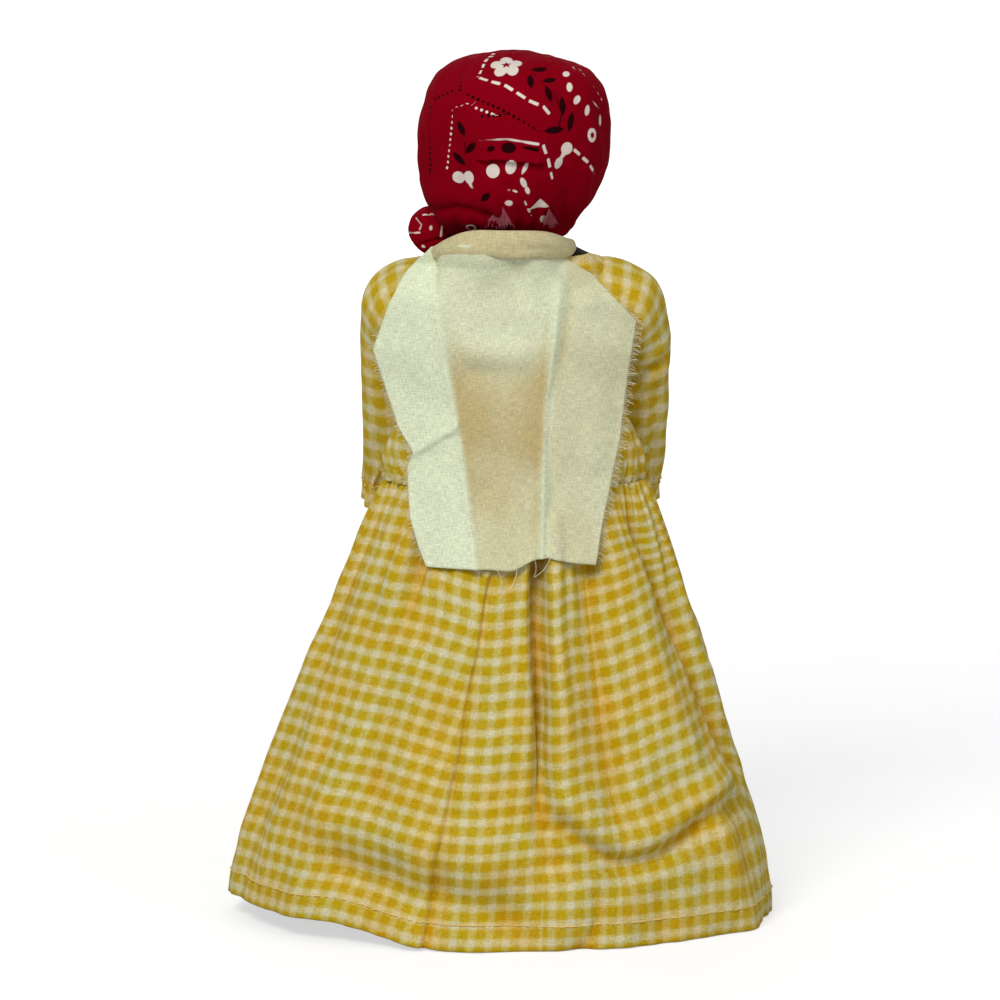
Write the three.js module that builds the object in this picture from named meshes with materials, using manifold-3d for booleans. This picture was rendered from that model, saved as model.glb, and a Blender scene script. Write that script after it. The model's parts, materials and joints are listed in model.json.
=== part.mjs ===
// A stuffed cloth doll in a gathered check dress, with a printed kerchief knotted round the head
// and a plain raw-edged shawl over the back. Millimetres, +Z up. The doll stands on the hem of its
// skirt, faces -Y, and its own left is +X. The origin is on the surface, under the middle of the hem.

import * as THREE from "three";
import { mergeVertices } from "three/addons/utils/BufferGeometryUtils.js";
import Module from "manifold-3d";

const wasm = await Module();
wasm.setup();

// Driving dimensions

const CLOTH = 1.0; // wall of one cloth layer, folded seams included
const GAP = 0.4; // clearance between two pieces that lie on each other
const BODY_OFFSET = -5; // the body stands this far from the middle of the spread hem

const HEM_HALF_WIDTH = 96.6;
const HEM_HALF_DEPTH = 68.4;
const HEM_LIFT = 7.5; // how far the hem rises off the surface on the doll's left
const HEM_FLAT = 0.5; // depth of the flat on which the hem stands
const FOLD_HEIGHT = 8; // of the deepest fold of the skirt
const WAIST_HEIGHT = 158;
const WAIST_HALF_WIDTH = 45;
const WAIST_HALF_DEPTH = 27;

const BODICE_LENGTH = 84; // waist seam to neckline
const NECK_RADIUS = 12.5;
const SHOULDER_HALF_WIDTH = 33; // middle of the body to the armhole seam
const SHOULDER_DROP = 22; // neckline down to the shoulder axis
const CHEST_HALF_DEPTH = 18.5;

const SLEEVE_RADIUS = 10.5;
const SLEEVE_CAP_RADIUS = 16.5;
const SLEEVE_CAP_WIDTH = 21.5;
const SLEEVE_LENGTH = 80; // shoulder axis to the edge of the wrist frill
const WRIST_RADIUS = 6.8;
const FRILL_RADIUS = 8;
const FRILL_LENGTH = 9;
const WRIST_THREAD = 0.7; // thickness of the gathering thread
const ARM_RADIUS = 8;
const ARM_LENGTH = 82;
const ARM_REST_SWING = 20; // degrees that the hanging arm leans forward
const ARM_SPREAD = 3; // degrees that it leans away from the body

const TORSO_HALF_WIDTH = 29;
const TORSO_HALF_DEPTH = 16;
const HIP_DROP = 24; // waist seam down to the seam that holds the legs
const LEG_RADIUS = 11.6;
const LEG_SPACING = 30;
const SOLE_CLEARANCE = 0.8; // the soles hang just clear of the surface
const FOOT_LENGTH = 26;

const HEAD_HEIGHT = 68; // neckline to crown, without the kerchief
const HEAD_HALF_WIDTH = 32;
const HEAD_FLATNESS = 0.93; // depth of the head as a share of its width
const NAPE_RADIUS = 19; // lower edge of the kerchief
const FACE_HALF_WIDTH = 22;
const FACE_TOP = 50; // neckline up to the kerchief's edge over the forehead
const KNOT_RADIUS = 8.8;
const HEAD_TURN_RIGHT = 20; // degrees
const HEAD_TURN_LEFT = 6; // degrees, until the knot meets the shoulder
const TUFT_HALF_WIDTH = 11;
const TUFT_HEIGHT = 15;

const EYE_HEIGHT = 34; // above the neckline
const EYE_SPACING = 21;
const EYE_HALF_WIDTH = 2.6;
const EYE_HALF_HEIGHT = 3.2;
const MOUTH_HEIGHT = 19;
const MOUTH_HALF_WIDTH = 6;
const THREAD_RELIEF = 0.6; // how far the embroidery stands off the face

const COLLAR_HALF_HEIGHT = 4.7;
const COLLAR_HALF_THICKNESS = 3.2;
const COLLAR_CLEARANCE = 1.2; // the head turns inside the collar
const SHAWL_LENGTH = 111; // from the collar's middle to the lower edge
const SHAWL_TOP_HALF_WIDTH = 20;
const SHAWL_POINT_HALF_WIDTH = 46; // at the side points, over the arms
const SHAWL_POINT_DROP = 32; // from the collar's middle down to the side points
const SHAWL_HEM_HALF_WIDTH = 32;
const SHAWL_STAND_OFF = 4.5; // how far the lower edge hangs off the skirt
const SHAWL_BACK_CLEARANCE = 2.5; // how far the panel lies off the back
const SHAWL_CURL = 4; // how far the side points bend forward
const SHAWL_KNOT_RADIUS = 4.2;

// Places that follow from them

const NECK_Z = WAIST_HEIGHT + BODICE_LENGTH;
const SHOULDER_Z = NECK_Z - SHOULDER_DROP;
const HIP_Z = WAIST_HEIGHT - HIP_DROP;
const COLLAR_Z = NECK_Z + COLLAR_HALF_HEIGHT - 2;
const PAST = 3; // how far a cutting solid runs past the face that it opens
const SIDES = 20; // facets round the body's forms
const LIMB_SIDES = 12;

const COLOURS = {
  gingham: 0xd9bb45,
  muslin: 0xd6d0aa,
  kerchief: 0x96101f,
  skin: 0x1c1512,
  wadding: 0xe9e4d6,
  thread: 0xe0a030,
  embroidery: 0xd8cfc0,
};

// Solids

// A closed surface through rings of points that run round the same way, with a fan at each end.
function loft(rings) {
  const sides = rings[0].length;
  const points = rings.flat();
  const index = [];
  const corner = (ring, side) => ring * sides + (side % sides);
  for (let r = 0; r + 1 < rings.length; r++) {
    for (let s = 0; s < sides; s++) {
      index.push(corner(r, s), corner(r, s + 1), corner(r + 1, s + 1));
      index.push(corner(r, s), corner(r + 1, s + 1), corner(r + 1, s));
    }
  }
  const last = rings.length - 1;
  const low = points.push(middle(rings[0])) - 1;
  const high = points.push(middle(rings[last])) - 1;
  for (let s = 0; s < sides; s++) {
    index.push(low, corner(0, s + 1), corner(0, s));
    index.push(high, corner(last, s), corner(last, s + 1));
  }
  return new THREE.BufferGeometry().setFromPoints(points).setIndex(index);
}

function middle(points) {
  const sum = points.reduce((total, p) => total.add(p), new THREE.Vector3());
  return sum.divideScalar(points.length);
}

function toSolid(geometry) {
  const bare = geometry.clone();
  bare.deleteAttribute("normal");
  bare.deleteAttribute("uv");
  const merged = mergeVertices(bare, 1e-4);
  return new wasm.Manifold(
    new wasm.Mesh({
      numProp: 3,
      vertProperties: new Float32Array(merged.attributes.position.array),
      triVerts: new Uint32Array(merged.index.array),
    }),
  );
}

function toGeometry(solid) {
  const { vertProperties, triVerts } = solid.getMesh();
  const geometry = new THREE.BufferGeometry();
  geometry.setAttribute("position", new THREE.BufferAttribute(vertProperties, 3));
  return geometry.setIndex(new THREE.BufferAttribute(triVerts, 1));
}

// A round form about +Z from points of (radius, height), which run upwards and end on the axis.
function turned(profile, sides = LIMB_SIDES) {
  const points = profile.map(([radius, height]) => new THREE.Vector2(radius, height));
  const geometry = new THREE.LatheGeometry(points, sides);
  return geometry.rotateX(Math.PI / 2);
}

function flatOutline(outline, from, to, steps = 6) {
  // The outline lies in X and Z, and the solid runs along Y between the two places.
  const geometry = new THREE.ExtrudeGeometry(outline, {
    depth: to - from,
    bevelEnabled: false,
    curveSegments: steps,
  });
  return geometry.rotateX(Math.PI / 2).translate(0, to, 0);
}

// Level sections of a sewn form, each { z, wide, deep, square, narrow }. Square is the power of the
// superellipse, 2 for an ellipse, and narrow is the share that the front is drawn in by.
function sectionRing({ z, wide, deep, square = 2, narrow = 0 }, sides) {
  const power = 2 / square;
  return Array.from({ length: sides }, (_, i) => {
    const angle = (i / sides) * 2 * Math.PI;
    const c = Math.cos(angle);
    const s = Math.sin(angle);
    const x = Math.sign(c) * Math.abs(c) ** power * (1 + narrow * s);
    const y = Math.sign(s) * Math.abs(s) ** power;
    return new THREE.Vector3(wide * x, deep * y, z);
  });
}

// The form as a solid, thicker by grow all round. Its ends run on straight by below and above, or
// are drawn in where these are negative.
function sewnForm(sections, { grow = 0, below = 0, above = 0, sides = SIDES } = {}) {
  const grown = sections.map((s) => ({ ...s, wide: s.wide + grow, deep: s.deep + grow }));
  const first = { ...grown[0], z: grown[0].z - below };
  const last = { ...grown.at(-1), z: grown.at(-1).z + above };
  const between = grown.slice(below > 0 ? 0 : 1, above > 0 ? grown.length : -1);
  return toSolid(loft([first, ...between, last].map((s) => sectionRing(s, sides))));
}

// Dress

// The bodice bags over the waist, narrows in front of it for the arms, and is square at the armholes.
function bodiceSections() {
  const side = SHOULDER_HALF_WIDTH - GAP;
  const up = (share) => WAIST_HEIGHT + share * BODICE_LENGTH;
  const between = (share) => THREE.MathUtils.lerp(WAIST_HALF_WIDTH, side, share);
  const shoulder = SHOULDER_Z - WAIST_HEIGHT;
  const at = (height) => WAIST_HEIGHT + height;
  return [
    { z: up(0), wide: between(0), deep: WAIST_HALF_DEPTH, narrow: 0.15 },
    { z: up(0.14), wide: between(0.07), deep: WAIST_HALF_DEPTH + 0.5, narrow: 0.15 },
    { z: up(0.31), wide: between(0.58), deep: WAIST_HALF_DEPTH - 1, narrow: 0.15, square: 2.2 },
    { z: at(shoulder * 0.65), wide: between(0.9), deep: CHEST_HALF_DEPTH + 5, square: 2.7 },
    { z: at(shoulder * 0.82), wide: side, deep: CHEST_HALF_DEPTH + 2.5, square: 3.6 },
    { z: SHOULDER_Z, wide: side, deep: CHEST_HALF_DEPTH, square: 4 },
    { z: SHOULDER_Z + 0.72 * SLEEVE_CAP_RADIUS, wide: side, deep: CHEST_HALF_DEPTH - 1.5, square: 4 },
    { z: NECK_Z - 5, wide: 0.85 * side, deep: NECK_RADIUS + 3.4, square: 3 },
    { z: NECK_Z - 2, wide: NECK_RADIUS + 0.5 * (side - NECK_RADIUS), deep: NECK_RADIUS + 2.4, square: 2.4 },
    { z: NECK_Z - GAP, wide: NECK_RADIUS + 3, deep: NECK_RADIUS + 2 },
  ];
}

function bodice() {
  const armhole = new THREE.CylinderGeometry(ARM_RADIUS + 1, ARM_RADIUS + 1, 3 * SHOULDER_HALF_WIDTH, 16);
  armhole.rotateZ(Math.PI / 2).translate(0, 0, SHOULDER_Z);
  return sewnForm(bodiceSections())
    .subtract(sewnForm(bodiceSections(), { grow: -CLOTH, below: PAST, above: PAST }))
    .subtract(toSolid(armhole));
}

// The skirt's main folds, in turn from the doll's left. Each has its angle at the waist and at the hem
// and half its width, in degrees, its height as a share of the deepest one's, and where it starts and
// dies out between the waist, 0, and the hem, 1. The deep one is the pleat in the middle of the back.
const PAST_HEM = 1.3;
const FOLDS = [
  [6, 4, 6, 0.3, 0.15, PAST_HEM],
  [20, 15, 6, -0.52, 0, PAST_HEM],
  [52, 45, 6, 0.5, 0.08, PAST_HEM],
  [59, 54, 4.6, -0.62, 0, 1.1],
  [71, 62, 5, 0.3, 0, 0.9],
  [94.4, 94.4, 2.6, 0.22, -0.2, 0.7],
  [98.8, 98.8, 2.4, -1, -0.2, 0.85],
  [104.5, 105.5, 4.2, 0.42, 0, 0.8],
  [118, 116, 5, -0.75, 0.02, 1],
  [127, 137, 6, 0.55, 0.05, PAST_HEM],
  [150, 148, 5.5, -0.55, 0, PAST_HEM],
  [163, 165, 7, 0.38, 0.1, PAST_HEM],
  [184, 184, 6, -0.42, 0, PAST_HEM],
  [200, 202, 7, 0.34, 0.1, PAST_HEM],
  [222, 218, 6, -0.5, 0, PAST_HEM],
  [240, 238, 7, 0.38, 0.1, PAST_HEM],
  [262, 258, 5, -0.56, 0, PAST_HEM],
  [280, 281, 7, 0.36, 0.1, PAST_HEM],
  [300, 300, 5, -0.52, 0, PAST_HEM],
  [319, 317, 7, 0.38, 0.1, PAST_HEM],
  [338, 336, 6, -0.44, 0, PAST_HEM],
];
const FOLD_STEPS = 3; // facets from one fold to the next
const SKIRT_SHARES = [1, 0.92, 0.78, 0.6, 0.42, 0.24, 0.1, 0];
const FLARE = [[0, 0], [0.18, 0.23], [0.43, 0.5], [0.68, 0.78], [0.82, 0.915], [0.94, 0.988], [1, 1]];

// How far the folds stand out, or in, at an angle in degrees.
function foldsAt(degrees, share) {
  const { smoothstep } = THREE.MathUtils;
  return FOLDS.reduce((total, [top, hem, half, height, start, end]) => {
    const crest = THREE.MathUtils.lerp(top, hem, share);
    const away = THREE.MathUtils.euclideanModulo(degrees - crest + 180, 360) - 180;
    const life = smoothstep(share, start - 0.02, start + 0.14) * (1 - smoothstep(share, end - 0.3, end));
    return total + FOLD_HEIGHT * height * life * Math.exp(-((away / half) ** 2));
  }, 0);
}

// Angles of the skirt's facets in degrees: the folds' own and some between them.
function skirtAngles(share) {
  const folds = FOLDS.map(([top, hem]) => THREE.MathUtils.lerp(top, hem, share));
  return folds.flatMap((angle, i) => {
    const next = i + 1 < folds.length ? folds[i + 1] : folds[0] + 360;
    return Array.from({ length: FOLD_STEPS }, (_, k) => THREE.MathUtils.lerp(angle, next, k / FOLD_STEPS));
  });
}

// A value between the pairs of a table, in straight steps.
function tableAt(table, at) {
  const i = Math.max(1, table.findIndex(([key]) => key >= at));
  const [[low, from], [high, to]] = [table[i - 1], table[i]];
  return THREE.MathUtils.mapLinear(at, low, high, from, to);
}

// One ring of the skirt, from the waist, 0, to the hem, 1. The folds grow out of the gathers, the hem
// rises a little on the doll's left, and the middle of its outline lies over the origin.
function skirtRing(share, grow, centred = true) {
  const { lerp, smoothstep, degToRad } = THREE.MathUtils;
  const wide = lerp(WAIST_HALF_WIDTH, HEM_HALF_WIDTH, tableAt(FLARE, share)) + grow;
  const deep = lerp(WAIST_HALF_DEPTH, HEM_HALF_DEPTH, share ** 0.92) + grow;
  const shift = centred ? HEM_MIDDLE : new THREE.Vector3();
  return skirtAngles(share).map((degrees) => {
    const angle = degToRad(degrees);
    const fold = foldsAt(degrees, share);
    const fromLeft = THREE.MathUtils.euclideanModulo(degrees + 180, 360) - 180;
    const lift = HEM_LIFT * smoothstep(fromLeft, -62, 0) * (1 - smoothstep(fromLeft, 48, 80));
    const x = lerp(BODY_OFFSET, 0, share) - share * shift.x + (wide + fold) * Math.cos(angle);
    const y = (deep + fold) * Math.sin(angle) - share * shift.y;
    return new THREE.Vector3(x, y, lerp(WAIST_HEIGHT - GAP, lift - HEM_FLAT, share));
  });
}

const HEM_MIDDLE = new THREE.Box3().setFromPoints(skirtRing(1, 0, false)).getCenter(new THREE.Vector3());

function skirtSolid(grow, past = 0) {
  const rings = SKIRT_SHARES.map((share) => skirtRing(share, grow));
  if (past === 0) {
    return toSolid(loft(rings));
  }
  const moved = (ring, rise) => ring.map((p) => new THREE.Vector3(p.x, p.y, p.z + rise));
  return toSolid(loft([moved(rings[0], -past), ...rings, moved(rings[rings.length - 1], past)]));
}

function skirt() {
  const below = new THREE.BoxGeometry(4 * HEM_HALF_WIDTH, 4 * HEM_HALF_DEPTH, 2 * PAST);
  below.translate(0, 0, -PAST);
  return skirtSolid(0).subtract(skirtSolid(-CLOTH, PAST)).subtract(toSolid(below));
}

// A sleeve hangs from the shoulder axis: its cap is round about that axis, so that it turns in the
// armhole, and its tube is gathered at the wrist over a short frill.
const GATHER_Z = -SLEEVE_LENGTH + FRILL_LENGTH;
const TUBE_X = SLEEVE_CAP_WIDTH - SLEEVE_RADIUS;

function hungTube(profile) {
  const spread = THREE.MathUtils.degToRad(ARM_SPREAD);
  return toSolid(turned(profile).rotateY(-spread).translate(TUBE_X, 0, 0));
}

function sleeveForm(grow, past) {
  const cap = turned([
    [0, GAP - past],
    [SLEEVE_CAP_RADIUS + grow, GAP - past],
    [SLEEVE_CAP_RADIUS + grow, 0.4 * SLEEVE_CAP_WIDTH],
    [0.9 * SLEEVE_CAP_RADIUS + grow, 0.72 * SLEEVE_CAP_WIDTH],
    [0.6 * SLEEVE_CAP_RADIUS + grow, 0.93 * SLEEVE_CAP_WIDTH + 0.5 * grow],
    [0, SLEEVE_CAP_WIDTH + grow],
  ]);
  const tube = [
    [0, -SLEEVE_LENGTH - past],
    [FRILL_RADIUS + grow, -SLEEVE_LENGTH - past],
    [WRIST_RADIUS + grow, GATHER_Z],
    [0.86 * SLEEVE_RADIUS + grow, 0.88 * GATHER_Z],
    [SLEEVE_RADIUS + grow, 0.66 * GATHER_Z],
    [SLEEVE_RADIUS + grow, 0.2 * GATHER_Z],
    [0.9 * SLEEVE_RADIUS + grow, 0],
    [0, 0.5 * SLEEVE_CAP_RADIUS],
  ];
  return toSolid(cap.rotateY(Math.PI / 2)).add(hungTube(tube));
}

function sleeve() {
  return sleeveForm(0, 0).subtract(sleeveForm(-CLOTH, PAST));
}

function wristThread() {
  const radius = WRIST_RADIUS + GAP + WRIST_THREAD / 2;
  const ring = new THREE.TorusGeometry(radius, WRIST_THREAD / 2, 4, LIMB_SIDES);
  const spread = THREE.MathUtils.degToRad(ARM_SPREAD);
  return toSolid(ring.translate(0, 0, GATHER_Z).rotateY(-spread).translate(TUBE_X, 0, 0));
}

// Stuffed body

function torsoSections() {
  const height = NECK_Z - HIP_Z;
  const up = (share) => HIP_Z + GAP + share * (height - 2 * GAP);
  const wide = (share) => share * TORSO_HALF_WIDTH;
  const deep = (share) => share * TORSO_HALF_DEPTH;
  return [
    { z: up(0), wide: wide(0.93), deep: 2 * CLOTH },
    { z: up(0.07), wide: wide(0.98), deep: deep(0.58) },
    { z: up(0.17), wide: wide(1), deep: deep(0.92) },
    { z: up(0.28), wide: wide(0.96), deep: deep(1) },
    { z: up(0.47), wide: wide(0.92), deep: deep(1) },
    { z: up(0.65), wide: wide(0.96), deep: deep(0.98), square: 2.4 },
    { z: SHOULDER_Z, wide: wide(1), deep: deep(0.9), square: 3 },
    { z: SHOULDER_Z + 0.5 * SHOULDER_DROP, wide: wide(0.92), deep: deep(0.84), square: 3 },
    { z: SHOULDER_Z + 0.77 * SHOULDER_DROP, wide: 0.6 * TORSO_HALF_WIDTH, deep: NECK_RADIUS + 0.3 },
    { z: NECK_Z - GAP, wide: NECK_RADIUS, deep: NECK_RADIUS },
  ];
}

function torsoCover() {
  const inside = sewnForm(torsoSections(), { grow: -CLOTH, below: -2 * CLOTH, above: PAST });
  return sewnForm(torsoSections()).subtract(inside);
}

function torsoStuffing() {
  return sewnForm(torsoSections(), { grow: -CLOTH - GAP, below: -2 * CLOTH - GAP });
}

// An arm, about the same axis as its sleeve: a stub through the armhole, then a tube with a mitten
// hand whose tip just clears the frill.
function armForm(grow, root) {
  const stub = turned([
    [0, root],
    [ARM_RADIUS + grow, root],
    [ARM_RADIUS + grow, TUBE_X],
    [0, TUBE_X + ARM_RADIUS + grow],
  ]);
  const wrist = WRIST_RADIUS - CLOTH - GAP;
  const tube = [
    [0, -ARM_LENGTH - grow],
    [0.75 * wrist + grow, -ARM_LENGTH + 0.2 * wrist],
    [wrist + grow, -ARM_LENGTH + wrist],
    [0.92 * wrist + grow, GATHER_Z],
    [0.9 * ARM_RADIUS + grow, 0.6 * GATHER_Z],
    [ARM_RADIUS + grow, 0],
    [0, ARM_RADIUS + grow],
  ];
  return toSolid(stub.rotateY(Math.PI / 2)).add(hungTube(tube));
}

const ARM_ROOT = TORSO_HALF_WIDTH + GAP - SHOULDER_HALF_WIDTH;

function armCover() {
  return armForm(0, ARM_ROOT).subtract(armForm(-CLOTH, ARM_ROOT - PAST));
}

function armStuffing() {
  return armForm(-CLOTH - GAP, ARM_ROOT);
}

// A leg hangs from a flat seam at its top and ends in a foot with a level sole.
const LEG_LENGTH = HIP_Z - SOLE_CLEARANCE;

function legForm(grow, past) {
  const down = (share) => -share * LEG_LENGTH;
  const wide = (share) => share * LEG_RADIUS;
  const shaft = sewnForm(
    [
      { z: down(0.985), wide: wide(0.6), deep: wide(0.6) },
      { z: down(0.9), wide: wide(0.68), deep: wide(0.72) },
      { z: down(0.78), wide: wide(0.71), deep: wide(0.73) },
      { z: down(0.56), wide: wide(0.83), deep: wide(0.85) },
      { z: down(0.34), wide: wide(0.95), deep: wide(0.95) },
      { z: down(0.14), wide: wide(1), deep: wide(0.92) },
      { z: down(0.06), wide: wide(0.98), deep: wide(0.6) },
      { z: -GAP, wide: wide(0.95), deep: 2 * CLOTH },
    ],
    { grow, above: past, sides: LIMB_SIDES },
  );
  const height = 0.72 * LEG_RADIUS;
  const foot = new THREE.SphereGeometry(1, LIMB_SIDES, 6);
  foot.scale(0.78 * LEG_RADIUS + grow, FOOT_LENGTH / 2 + grow, height + grow);
  foot.translate(0, 0.6 * LEG_RADIUS - FOOT_LENGTH / 2, 0.8 * height - LEG_LENGTH);
  const ground = new THREE.BoxGeometry(4 * FOOT_LENGTH, 4 * FOOT_LENGTH, 2 * height);
  ground.translate(0, 0, -LEG_LENGTH - grow - height);
  return shaft.add(toSolid(foot)).subtract(toSolid(ground));
}

function legCover() {
  return legForm(0, 0).subtract(legForm(-CLOTH, PAST));
}

function legStuffing() {
  return legForm(-CLOTH - GAP, 0);
}

// Head and kerchief. Heights are shares of the head's height, and widths of its half width.
function headSections() {
  const outline = [
    [0.09, 0.53],
    [0.18, 0.73],
    [0.3, 0.9],
    [0.41, 0.98],
    [0.53, 1.01],
    [0.68, 0.99],
    [0.8, 0.92],
    [0.89, 0.79],
    [0.96, 0.55],
    [1, 0.22],
  ];
  const shaped = outline.map(([up, wide]) => ({
    z: NECK_Z + up * HEAD_HEIGHT,
    wide: wide * HEAD_HALF_WIDTH,
    deep: wide * HEAD_HALF_WIDTH * HEAD_FLATNESS,
  }));
  return [{ z: NECK_Z + GAP, wide: NECK_RADIUS, deep: NECK_RADIUS }, ...shaped];
}

function headCover() {
  const inside = sewnForm(headSections(), { grow: -CLOTH, below: PAST, above: -CLOTH });
  return sewnForm(headSections()).subtract(inside);
}

function headStuffing() {
  return sewnForm(headSections(), { grow: -CLOTH - GAP, above: -CLOTH - GAP });
}

// The kerchief lies on the head above the jaw and hangs from there to the nape.
const KERCHIEF_REACH = GAP + CLOTH;
const JAW_SHARE = 0.3;

function kerchiefSections() {
  const jaw = NECK_Z + JAW_SHARE * HEAD_HEIGHT;
  const upper = headSections().filter(({ z }) => z >= jaw - 1e-6);
  const lay = upper.map((s) => ({ ...s, wide: s.wide + KERCHIEF_REACH, deep: s.deep + KERCHIEF_REACH }));
  lay[lay.length - 1].z += KERCHIEF_REACH;
  const width = lay[0].wide;
  const mid = NAPE_RADIUS + 0.55 * (width - NAPE_RADIUS);
  return [
    { z: NECK_Z + 1.5, wide: NAPE_RADIUS, deep: NAPE_RADIUS },
    { z: NECK_Z + 0.5 * JAW_SHARE * HEAD_HEIGHT, wide: mid, deep: mid * HEAD_FLATNESS },
    ...lay,
  ];
}

function arch(halfWidth, top) {
  const outline = new THREE.Shape();
  const spring = top - halfWidth;
  outline.moveTo(-halfWidth, -PAST);
  outline.lineTo(halfWidth, -PAST);
  outline.lineTo(halfWidth, spring);
  outline.absarc(0, spring, halfWidth, 0, Math.PI, false);
  outline.closePath();
  return outline;
}

function faceOpening() {
  const front = flatOutline(arch(FACE_HALF_WIDTH, FACE_TOP), -2 * HEAD_HALF_WIDTH, -0.25 * HEAD_HALF_WIDTH);
  return toSolid(front.translate(0, 0, NECK_Z));
}

function kerchief() {
  const inside = sewnForm(kerchiefSections(), { grow: -CLOTH, below: PAST, above: -CLOTH });
  return sewnForm(kerchiefSections()).subtract(inside).subtract(faceOpening());
}

// The side knot: a round knot with a crease where its turns cross, seated on the kerchief under the
// left ear, and two short ends that lie forward from it.
function knotForm(r) {
  const ball = turned([
    [0, -r],
    [0.62 * r, -0.78 * r],
    [0.95 * r, -0.32 * r],
    [0.9 * r, -0.08 * r],
    [0.98 * r, 0.2 * r],
    [0.66 * r, 0.76 * r],
    [0, r],
  ]);
  const tail = turned([
    [0, 0],
    [0.35 * r, 0.3 * r],
    [0.62 * r, 1.6 * r],
    [0.5 * r, 1.75 * r],
    [0, 1.8 * r],
  ]);
  const ends = [-0.5, 0.45].map((turn) => {
    const end = tail.clone().scale(1, 0.35, 1).rotateX(Math.PI / 2 + 0.35).rotateZ(turn);
    return toSolid(end);
  });
  const knot = ends.reduce((whole, end) => whole.add(end), toSolid(ball.rotateX(0.5)));
  return knot.translate(KNOT_PLACE.toArray());
}

function kerchiefKnot() {
  const under = sewnForm(kerchiefSections(), { grow: GAP, below: PAST, above: PAST });
  return knotForm(KNOT_RADIUS).subtract(under);
}

// The room that the knot takes as the head turns.
function knotSweep() {
  const stops = 5;
  const turns = Array.from({ length: stops + 1 }, (_, i) =>
    THREE.MathUtils.lerp(-HEAD_TURN_RIGHT, HEAD_TURN_LEFT, i / stops),
  );
  const places = turns.map((turn) => knotForm(KNOT_RADIUS + 2 * GAP).rotate([0, 0, turn]));
  return places.reduce((whole, place) => whole.add(place));
}

const KNOT_PLACE = new THREE.Vector3(
  NAPE_RADIUS + 1.25 * KNOT_RADIUS,
  -1.1 * KNOT_RADIUS,
  NECK_Z + 0.75 * KNOT_RADIUS,
);

// The kerchief's gathered raw ends, a pleated fan on the nape just over the collar.
function kerchiefTuft() {
  const pleats = 4;
  const bottom = COLLAR_Z + COLLAR_HALF_HEIGHT + GAP;
  const outline = new THREE.Shape();
  outline.moveTo(-0.75 * TUFT_HALF_WIDTH, bottom);
  for (let i = 0; i < pleats; i++) {
    const from = -0.75 + (1.5 * i) / pleats;
    const to = -0.75 + (1.5 * (i + 1)) / pleats;
    const dip = bottom + 0.1 * TUFT_HEIGHT;
    outline.quadraticCurveTo(((from + to) / 2) * TUFT_HALF_WIDTH, dip, to * TUFT_HALF_WIDTH, bottom);
  }
  outline.quadraticCurveTo(TUFT_HALF_WIDTH, bottom + 0.7 * TUFT_HEIGHT, 0.2 * TUFT_HALF_WIDTH, bottom + TUFT_HEIGHT);
  outline.quadraticCurveTo(-TUFT_HALF_WIDTH, bottom + 0.9 * TUFT_HEIGHT, -0.75 * TUFT_HALF_WIDTH, bottom);
  const fan = toSolid(flatOutline(outline, 0, 2 * HEAD_HALF_WIDTH, 3));
  return onForm(kerchiefSections(), fan, 2 * CLOTH);
}

// What lies on a sewn form inside a cutting outline, from a gap over its face to the given relief.
function onForm(sections, cutter, relief) {
  const over = sewnForm(sections, { grow: GAP + relief, below: PAST, above: PAST });
  return over.intersect(cutter).subtract(sewnForm(sections, { grow: GAP, below: PAST, above: PAST }));
}

function eye(side) {
  const outline = new THREE.Shape();
  const x = (side * EYE_SPACING) / 2;
  outline.absellipse(x, NECK_Z + EYE_HEIGHT, EYE_HALF_WIDTH, EYE_HALF_HEIGHT, 0, 2 * Math.PI);
  const cutter = toSolid(flatOutline(outline, -2 * HEAD_HALF_WIDTH, 0, 5));
  return onForm(headSections(), cutter, THREAD_RELIEF);
}

function mouth() {
  const rise = 0.3 * MOUTH_HALF_WIDTH;
  const z = NECK_Z + MOUTH_HEIGHT;
  const outline = new THREE.Shape();
  outline.moveTo(-MOUTH_HALF_WIDTH, z + rise);
  outline.quadraticCurveTo(0, z - 1.6 * rise, MOUTH_HALF_WIDTH, z + rise);
  outline.quadraticCurveTo(0, z + 0.3 * rise, -MOUTH_HALF_WIDTH, z + rise);
  const cutter = toSolid(flatOutline(outline, -2 * HEAD_HALF_WIDTH, 0, 6));
  return onForm(headSections(), cutter, THREAD_RELIEF);
}

// Shawl

// The rolled collar runs round the neck just outside the kerchief, high at the nape and low in front.
function collarRing(angle, grow) {
  const steps = 8;
  const back = Math.max(0, Math.sin(angle));
  const front = Math.max(0, -Math.sin(angle));
  const inner = kerchiefRadiusAt(COLLAR_Z + COLLAR_HALF_HEIGHT) + COLLAR_CLEARANCE;
  const radius = inner + COLLAR_HALF_THICKNESS;
  const halfHeight = THREE.MathUtils.lerp(0.55 * COLLAR_HALF_HEIGHT, COLLAR_HALF_HEIGHT, back) + grow;
  const halfThick = COLLAR_HALF_THICKNESS + grow;
  const drop = 3 * (1 - back) + 9 * front * front;
  const reach = radius - 0.18 * radius * front;
  return Array.from({ length: steps }, (_, i) => {
    const turn = (i / steps) * 2 * Math.PI;
    const r = reach + halfThick * Math.cos(turn);
    const z = COLLAR_Z - drop + halfHeight * Math.sin(turn);
    return new THREE.Vector3(r * Math.cos(angle), r * Math.sin(angle), z);
  });
}

function kerchiefRadiusAt(z) {
  const sections = kerchiefSections();
  const above = sections.findIndex((s) => s.z > z);
  const [low, high] = [sections[above - 1], sections[above]];
  return THREE.MathUtils.mapLinear(z, low.z, high.z, low.wide, high.wide);
}

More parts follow.
